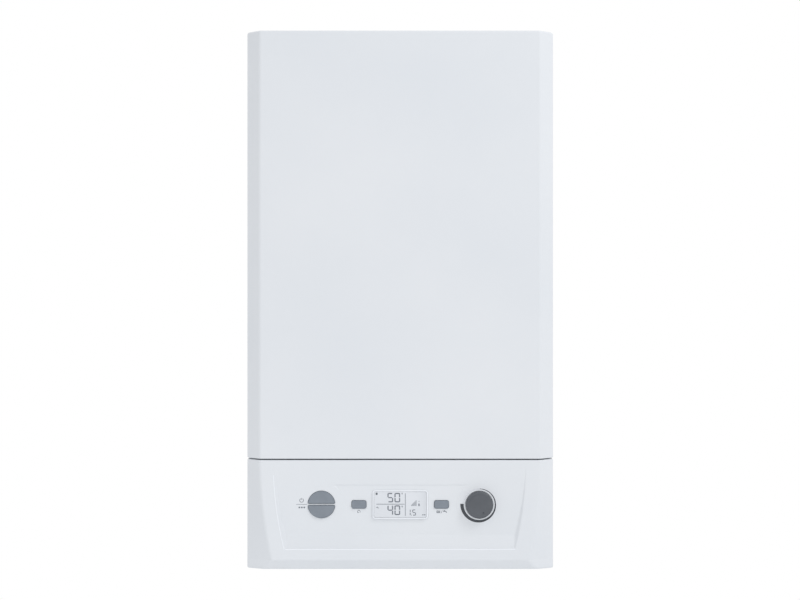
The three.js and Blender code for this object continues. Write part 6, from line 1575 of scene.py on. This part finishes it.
# %% Expansion vessel
vessel = bmesh.new()
VESSEL_MIDDLE = 465 * MM
vessel_outline = round_outline(rectangle(270 * MM, 270 * MM), 62 * MM, 12)
VESSEL_ROLL = [
    (-24, -68.5), (-12, -68), (-4, -65), (-0.8, -61), (0, -56), (0, -39.8), (3.4, -39.4), (4, -38.6),
    (4, -36.4), (3.4, -35.6), (0, -35.2), (0, -19), (-0.8, -14), (-4, -10), (-12, -7), (-24, -6.5),
]
DISH_SHARE, DISH_FRONT, DISH_BACK = 0.6, -67.6, -7.4
vessel_levels = [(grown(vessel_outline, out * MM), y) for out, y in VESSEL_ROLL]
dish = [DISH_SHARE * p for p in vessel_outline]
vessel_levels = [(dish, DISH_FRONT)] + vessel_levels + [(dish, DISH_BACK)]
vessel_rings = [[(p.x, y * MM, VESSEL_MIDDLE + p.y) for p in outline] for outline, y in vessel_levels]
made = add_rows(vessel, vessel_rings, closed=True)
vessel.faces.new(made[0])
vessel.faces.new(made[-1])
close_piece("vessel_shells", vessel, "root", vessel_enamel, ["expansion_vessel"], corner=45)
port = bmesh.new()
port_profile = [
    (5, 310), (6.6, 310), (7, 310.5), (7, 318), (9.5, 318.6), (9.5, 325), (7, 325.6), (7, 331), (5, 331),
    (5, 310),
]
add_turned(port, port_profile, (60, -37.5, 0), "z", 6)
close_piece("vessel_port", port, "root", brass, corner=30)
print("vessel:", len(vessel_rings), "rings")

# %% [markdown]
# ## Water side
# The hydraulic block is moulded from glass-filled plastic, with metal parts screwed into it: the pump, the
# diverter's motor, the safety valve with its red knob and the stack of brazed plates that heats the tap
# water. Each plate is a thin pressed tray, so the stack's sides show a fine ladder of edges.

# %% Plate heat exchanger
plates = bmesh.new()
PLATE_COUNT, PLATE_PITCH, PLATE_LOW = 16, 3.06, 65.6
for i in range(PLATE_COUNT):
    low = PLATE_LOW + PLATE_PITCH * i
    inset = 2.5 if i % 2 else 3.1
    add_box(plates, (-112 + inset, -118 + inset, low), (74 - inset, -60 - inset, low + 2.5))
close_piece("brazed_plates", plates, "root", stainless, ["plate_exchanger"], rounding=0.5)
covers = bmesh.new()
for low, high in ((62.3, 65.4), (114.2, 117.3)):
    add_box(covers, (-112, -118, low), (74, -60, high))
plate_port = [(0, 117), (9, 117), (9.6, 117.6), (9.6, 119), (8.8, 119.6), (0, 119.6)]
for x in (-80, -40, 10, 50):
    add_turned(covers, plate_port, (x, -89, 0), "z", 32)
close_piece("plate_covers", covers, "root", stainless, rounding=0.7)
print(PLATE_COUNT, "plates between 2 covers")

# %% Pump
PUMP, PUMP_AXIS = (132, 118), (132, 0, 118)
pump = bmesh.new()
pump_profile = [
    (0, -69), (30, -69), (33, -68), (43, -68), (46.5, -70), (48, -74), (48, -112), (47, -115), (0, -115),
]
add_turned(pump, pump_profile, PUMP_AXIS, "y", 80)
outlet_profile = [(8, 150), (12, 150), (13, 156), (13, 187.2), (12.4, 188), (8, 188), (8, 150)]
add_turned(pump, outlet_profile, (154, PIPE_Y, 0), "z", 36)
vent_profile = [
    (0, 150), (14, 150), (14, 203), (13, 205.4), (6, 206), (5, 206.4), (5, 214.2), (4.4, 215), (0, 215),
]
add_turned(pump, vent_profile, (106, PIPE_Y, 0), "z", 36)
close_piece("pump_volute", pump, "root", cast_alloy, ["pump_housing"], corner=40)
pump_foot = bmesh.new()
add_box(pump_foot, (114, -108, 62.3), (150, -72, 84))
close_piece("pump_foot", pump_foot, "root", cast_alloy, rounding=3)
motor = bmesh.new()
motor_profile = [
    (0, -192.6), (9, -192.6), (10, -193.3), (16, -193.3), (17, -192.4), (36, -192.4), (40.5, -191),
    (43, -187.5), (43, -124), (44, -122.6), (47, -122), (48, -121), (48, -116.2), (47, -115.3), (0, -115.3),
]
add_turned(motor, motor_profile, PUMP_AXIS, "y", 80)
close_piece("pump_motor_drum", motor, "root", motor_black, ["pump_motor"], corner=35)
ribs = bmesh.new()
for angle in range(0, 360, 12):
    if not 50 <= angle <= 130:
        add_fin(ribs, PUMP, angle, (42, 45.4), 0.9, (-186, -126))
add_box(ribs, (106, -183, 148), (158, -129, 174))
close_piece("pump_motor_ribs", ribs, "root", motor_black, rounding=1)
bolt_piece("pump_bolts", round_places(PUMP, 44, 4, -122.4, 45), 2.6)
terminal_places = [(x, y, 174) for y in (-178, -134) for x in (111, 153)]
bolt_piece("terminal_bolts", terminal_places, 1.6, way=1, axis="z")
bolt_piece("pump_centre_bolt", [(132, -193, 118)], 5)
print("pump: volute, vent, motor, terminal box")

# %% Diverter, safety valve and taps
diverter = bmesh.new()
add_box(diverter, (-173, -113, 62.3), (-127, -67, 124.3))
add_box(diverter, (-167, -125, 82.3), (-133, -112, 106.3))
add_box(diverter, (-163, -127, 88), (-137, -124, 101))
close_piece("diverter_case", diverter, "root", motor_black, ["diverter_motor"], rounding=2)
clip = bmesh.new()
add_box(clip, (-176, -104, 64), (-172.4, -76, 68))
add_box(clip, (-127.6, -104, 64), (-124, -76, 68))
add_box(clip, (-176, -116.4, 64), (-124, -113.4, 68))
close_piece("diverter_clip", clip, "root", stainless, rounding=0.8)
SAFETY_AXIS = (90, 0, 42)
relief = bmesh.new()
relief_profile = [
    (5, -175.2), (8, -176), (11, -176), (12, -175), (12, -160), (12, -150.1), (5, -150.1), (5, -175.2),
]
add_turned(relief, relief_profile, SAFETY_AXIS, "y", 40)
hexagon_profile = [
    (12.2, -158), (16, -158), (17, -157), (17, -151), (16, -150.1), (12.2, -150.1), (12.2, -158),
]
add_turned(relief, hexagon_profile, SAFETY_AXIS, "y", 6)
close_piece("safety_valve", relief, "root", brass, corner=30)


GRIP_STEPS, GRIP_LOBES, GRIP_DEPTH = 96, 8, 0.09


def grip_share(turn):
    """How much of a knob's radius is left at an angle, with shallow finger grips round it."""
    return 1 - GRIP_DEPTH * (0.5 + 0.5 * math.cos(GRIP_LOBES * turn)) ** 4


def add_grip(mesh_builder, profile, gripped, centre, axis):
    """A turned shape whose radius follows the grips where the place along the axis is in `gripped`."""
    turns = [2 * math.pi * i / GRIP_STEPS for i in range(GRIP_STEPS)]
    rows = []
    for radius, place in profile:
        row = []
        for a in turns:
            size = radius * (grip_share(a) if place in gripped else 1)
            u, v = size * math.cos(a), size * math.sin(a)
            offset = (u, place, v) if axis == "y" else (u, v, place)
            row.append((Vector(centre) + Vector(offset)) * MM)
        rows.append(row)
    made = add_rows(mesh_builder, rows, closed=True)
    mesh_builder.faces.new(made[0])
    mesh_builder.faces.new(made[-1])


safety = bmesh.new()
safety_profile = [
    (4, -194.3), (14, -194.3), (15.4, -193.6), (16, -192), (16, -178), (15, -176.4), (4, -176.3),
]
add_grip(safety, safety_profile, (-193.6, -192, -178, -176.4), SAFETY_AXIS, "y")
add_turned(safety, [(0, -176.4), (4, -176.4), (4, -162.4), (0, -162.4)], SAFETY_AXIS, "y", 24)
close_piece("safety_grip", safety, "safety_cap", safety_red, ["safety_knob"], corner=50)
filling = bmesh.new()
filling_profile = [(4, -24), (12, -24), (13.3, -23.4), (14, -22), (14, -8), (13, -6.2), (4, -6)]
add_grip(filling, filling_profile, (-23.4, -22, -8, -6.2), TAP_AXIS, "z")
add_turned(filling, [(0, -6.2), (4, -6.2), (4, 30.8), (0, 30.8)], TAP_AXIS, "z", 24)
close_piece("filling_grip", filling, "filling_cap", tap_blue, ["filling_knob"], corner=50)
block_ribs = bmesh.new()
for x in (-176, -158, -140, -118, -100, -82, -66, 112, 130, 148, 166, 180):
    add_box(block_ribs, (x - 1.5, -152.2, 24), (x + 1.5, -149, 60))
close_piece("manifold_ribs", block_ribs, "root", composite_grey, rounding=0.8)
print("diverter, safety valve, filling tap and manifold ribs")

# %% Condensate trap
trap = bmesh.new()
trap_profile = [
    (8, -14.6), (8.4, -15), (9.6, -15), (10, -14.5), (10, 12), (12, 14), (20, 14), (22.6, 15.4), (24, 20),
    (24, 128), (26.6, 128), (27, 128.6), (27, 141.4), (26.6, 142), (18, 149), (16.6, 150), (10, 150),
    (8, 150), (8, -14.6),
]
add_turned(trap, trap_profile, TRAP_AXIS, "z", 56)
for x, _, y in round_places(TRAP_AXIS[:2], 26.8, 24, 0):
    add_turned(trap, [(0, 129.4), (0.9, 129.4), (0.9, 140.6), (0, 140.6)], (x, y, 0), "z", 8)
add_turned(trap, [(24, 84), (24.7, 84.4), (24.7, 87.6), (24, 88)], TRAP_AXIS, "z", 56)
TRAP_PATH = [(0, 0, 146), (0, 0, 174), (25, 5, 246), (92, 40, 304.7), (100, 40, 330.7), (100, 40, 344.7)]
add_tube(trap, [Vector(TRAP_AXIS) + Vector(p) for p in TRAP_PATH], 10, 2)
close_piece("trap_cup", trap, "root", trap_plastic, ["condensate_trap"], corner=45)
print("condensate trap with its tube")

# %% [markdown]
# ## Control box and cover from behind
# When the box swings down, its rear lid comes into view: a plain moulding with stiffening ribs, screws at the
# edges and a rubber gland for the cables. Two ball studs on the cover snap into the rail and hold it shut.

# %% Lid, gland and studs
lid = bmesh.new()
for x in (-150, -100, -50, 0, 50):
    add_box(lid, (x - 1.25, -222, 22), (x + 1.25, -219.4, 126))
for z in (40, 74, 108):
    add_box(lid, (-168, -222, z - 1.25), (100, -219.4, z + 1.25))
close_piece("lid_ribs", lid, "control_box", black_plastic, rounding=0.6)
gland = bmesh.new()
gland_profile = [
    (5.2, -221), (11.5, -221), (12, -220.4), (12, -218.6), (9.4, -218), (8.6, -215.6), (7.6, -215),
    (5.2, -215), (5.2, -221),
]
add_turned(gland, gland_profile, (120, 0, 100), "y", 40)
close_piece("lid_gland", gland, "control_box", motor_black, corner=40)
lid_places = [(x, -221, z) for x in (-172, -60, 60, 172) for z in (130, 18)]
bolt_piece("lid_bolts", lid_places, 1.8, body="control_box", way=1)
studs = bmesh.new()
stud_profile = [
    (0, -256), (2.4, -256.2), (3.8, -257.6), (4, -259.4), (3.6, -261.2), (2.8, -262.4), (2.8, -290),
    (7, -291), (7, -298.6), (0, -298.6),
]
for x in (-150, 150):
    add_turned(studs, stud_profile, (x, 0, 162.5), "y", 32)
close_piece("cover_studs", studs, "cover", zinc_steel, corner=45)
print("lid ribs, gland, lid screws and 2 cover studs")
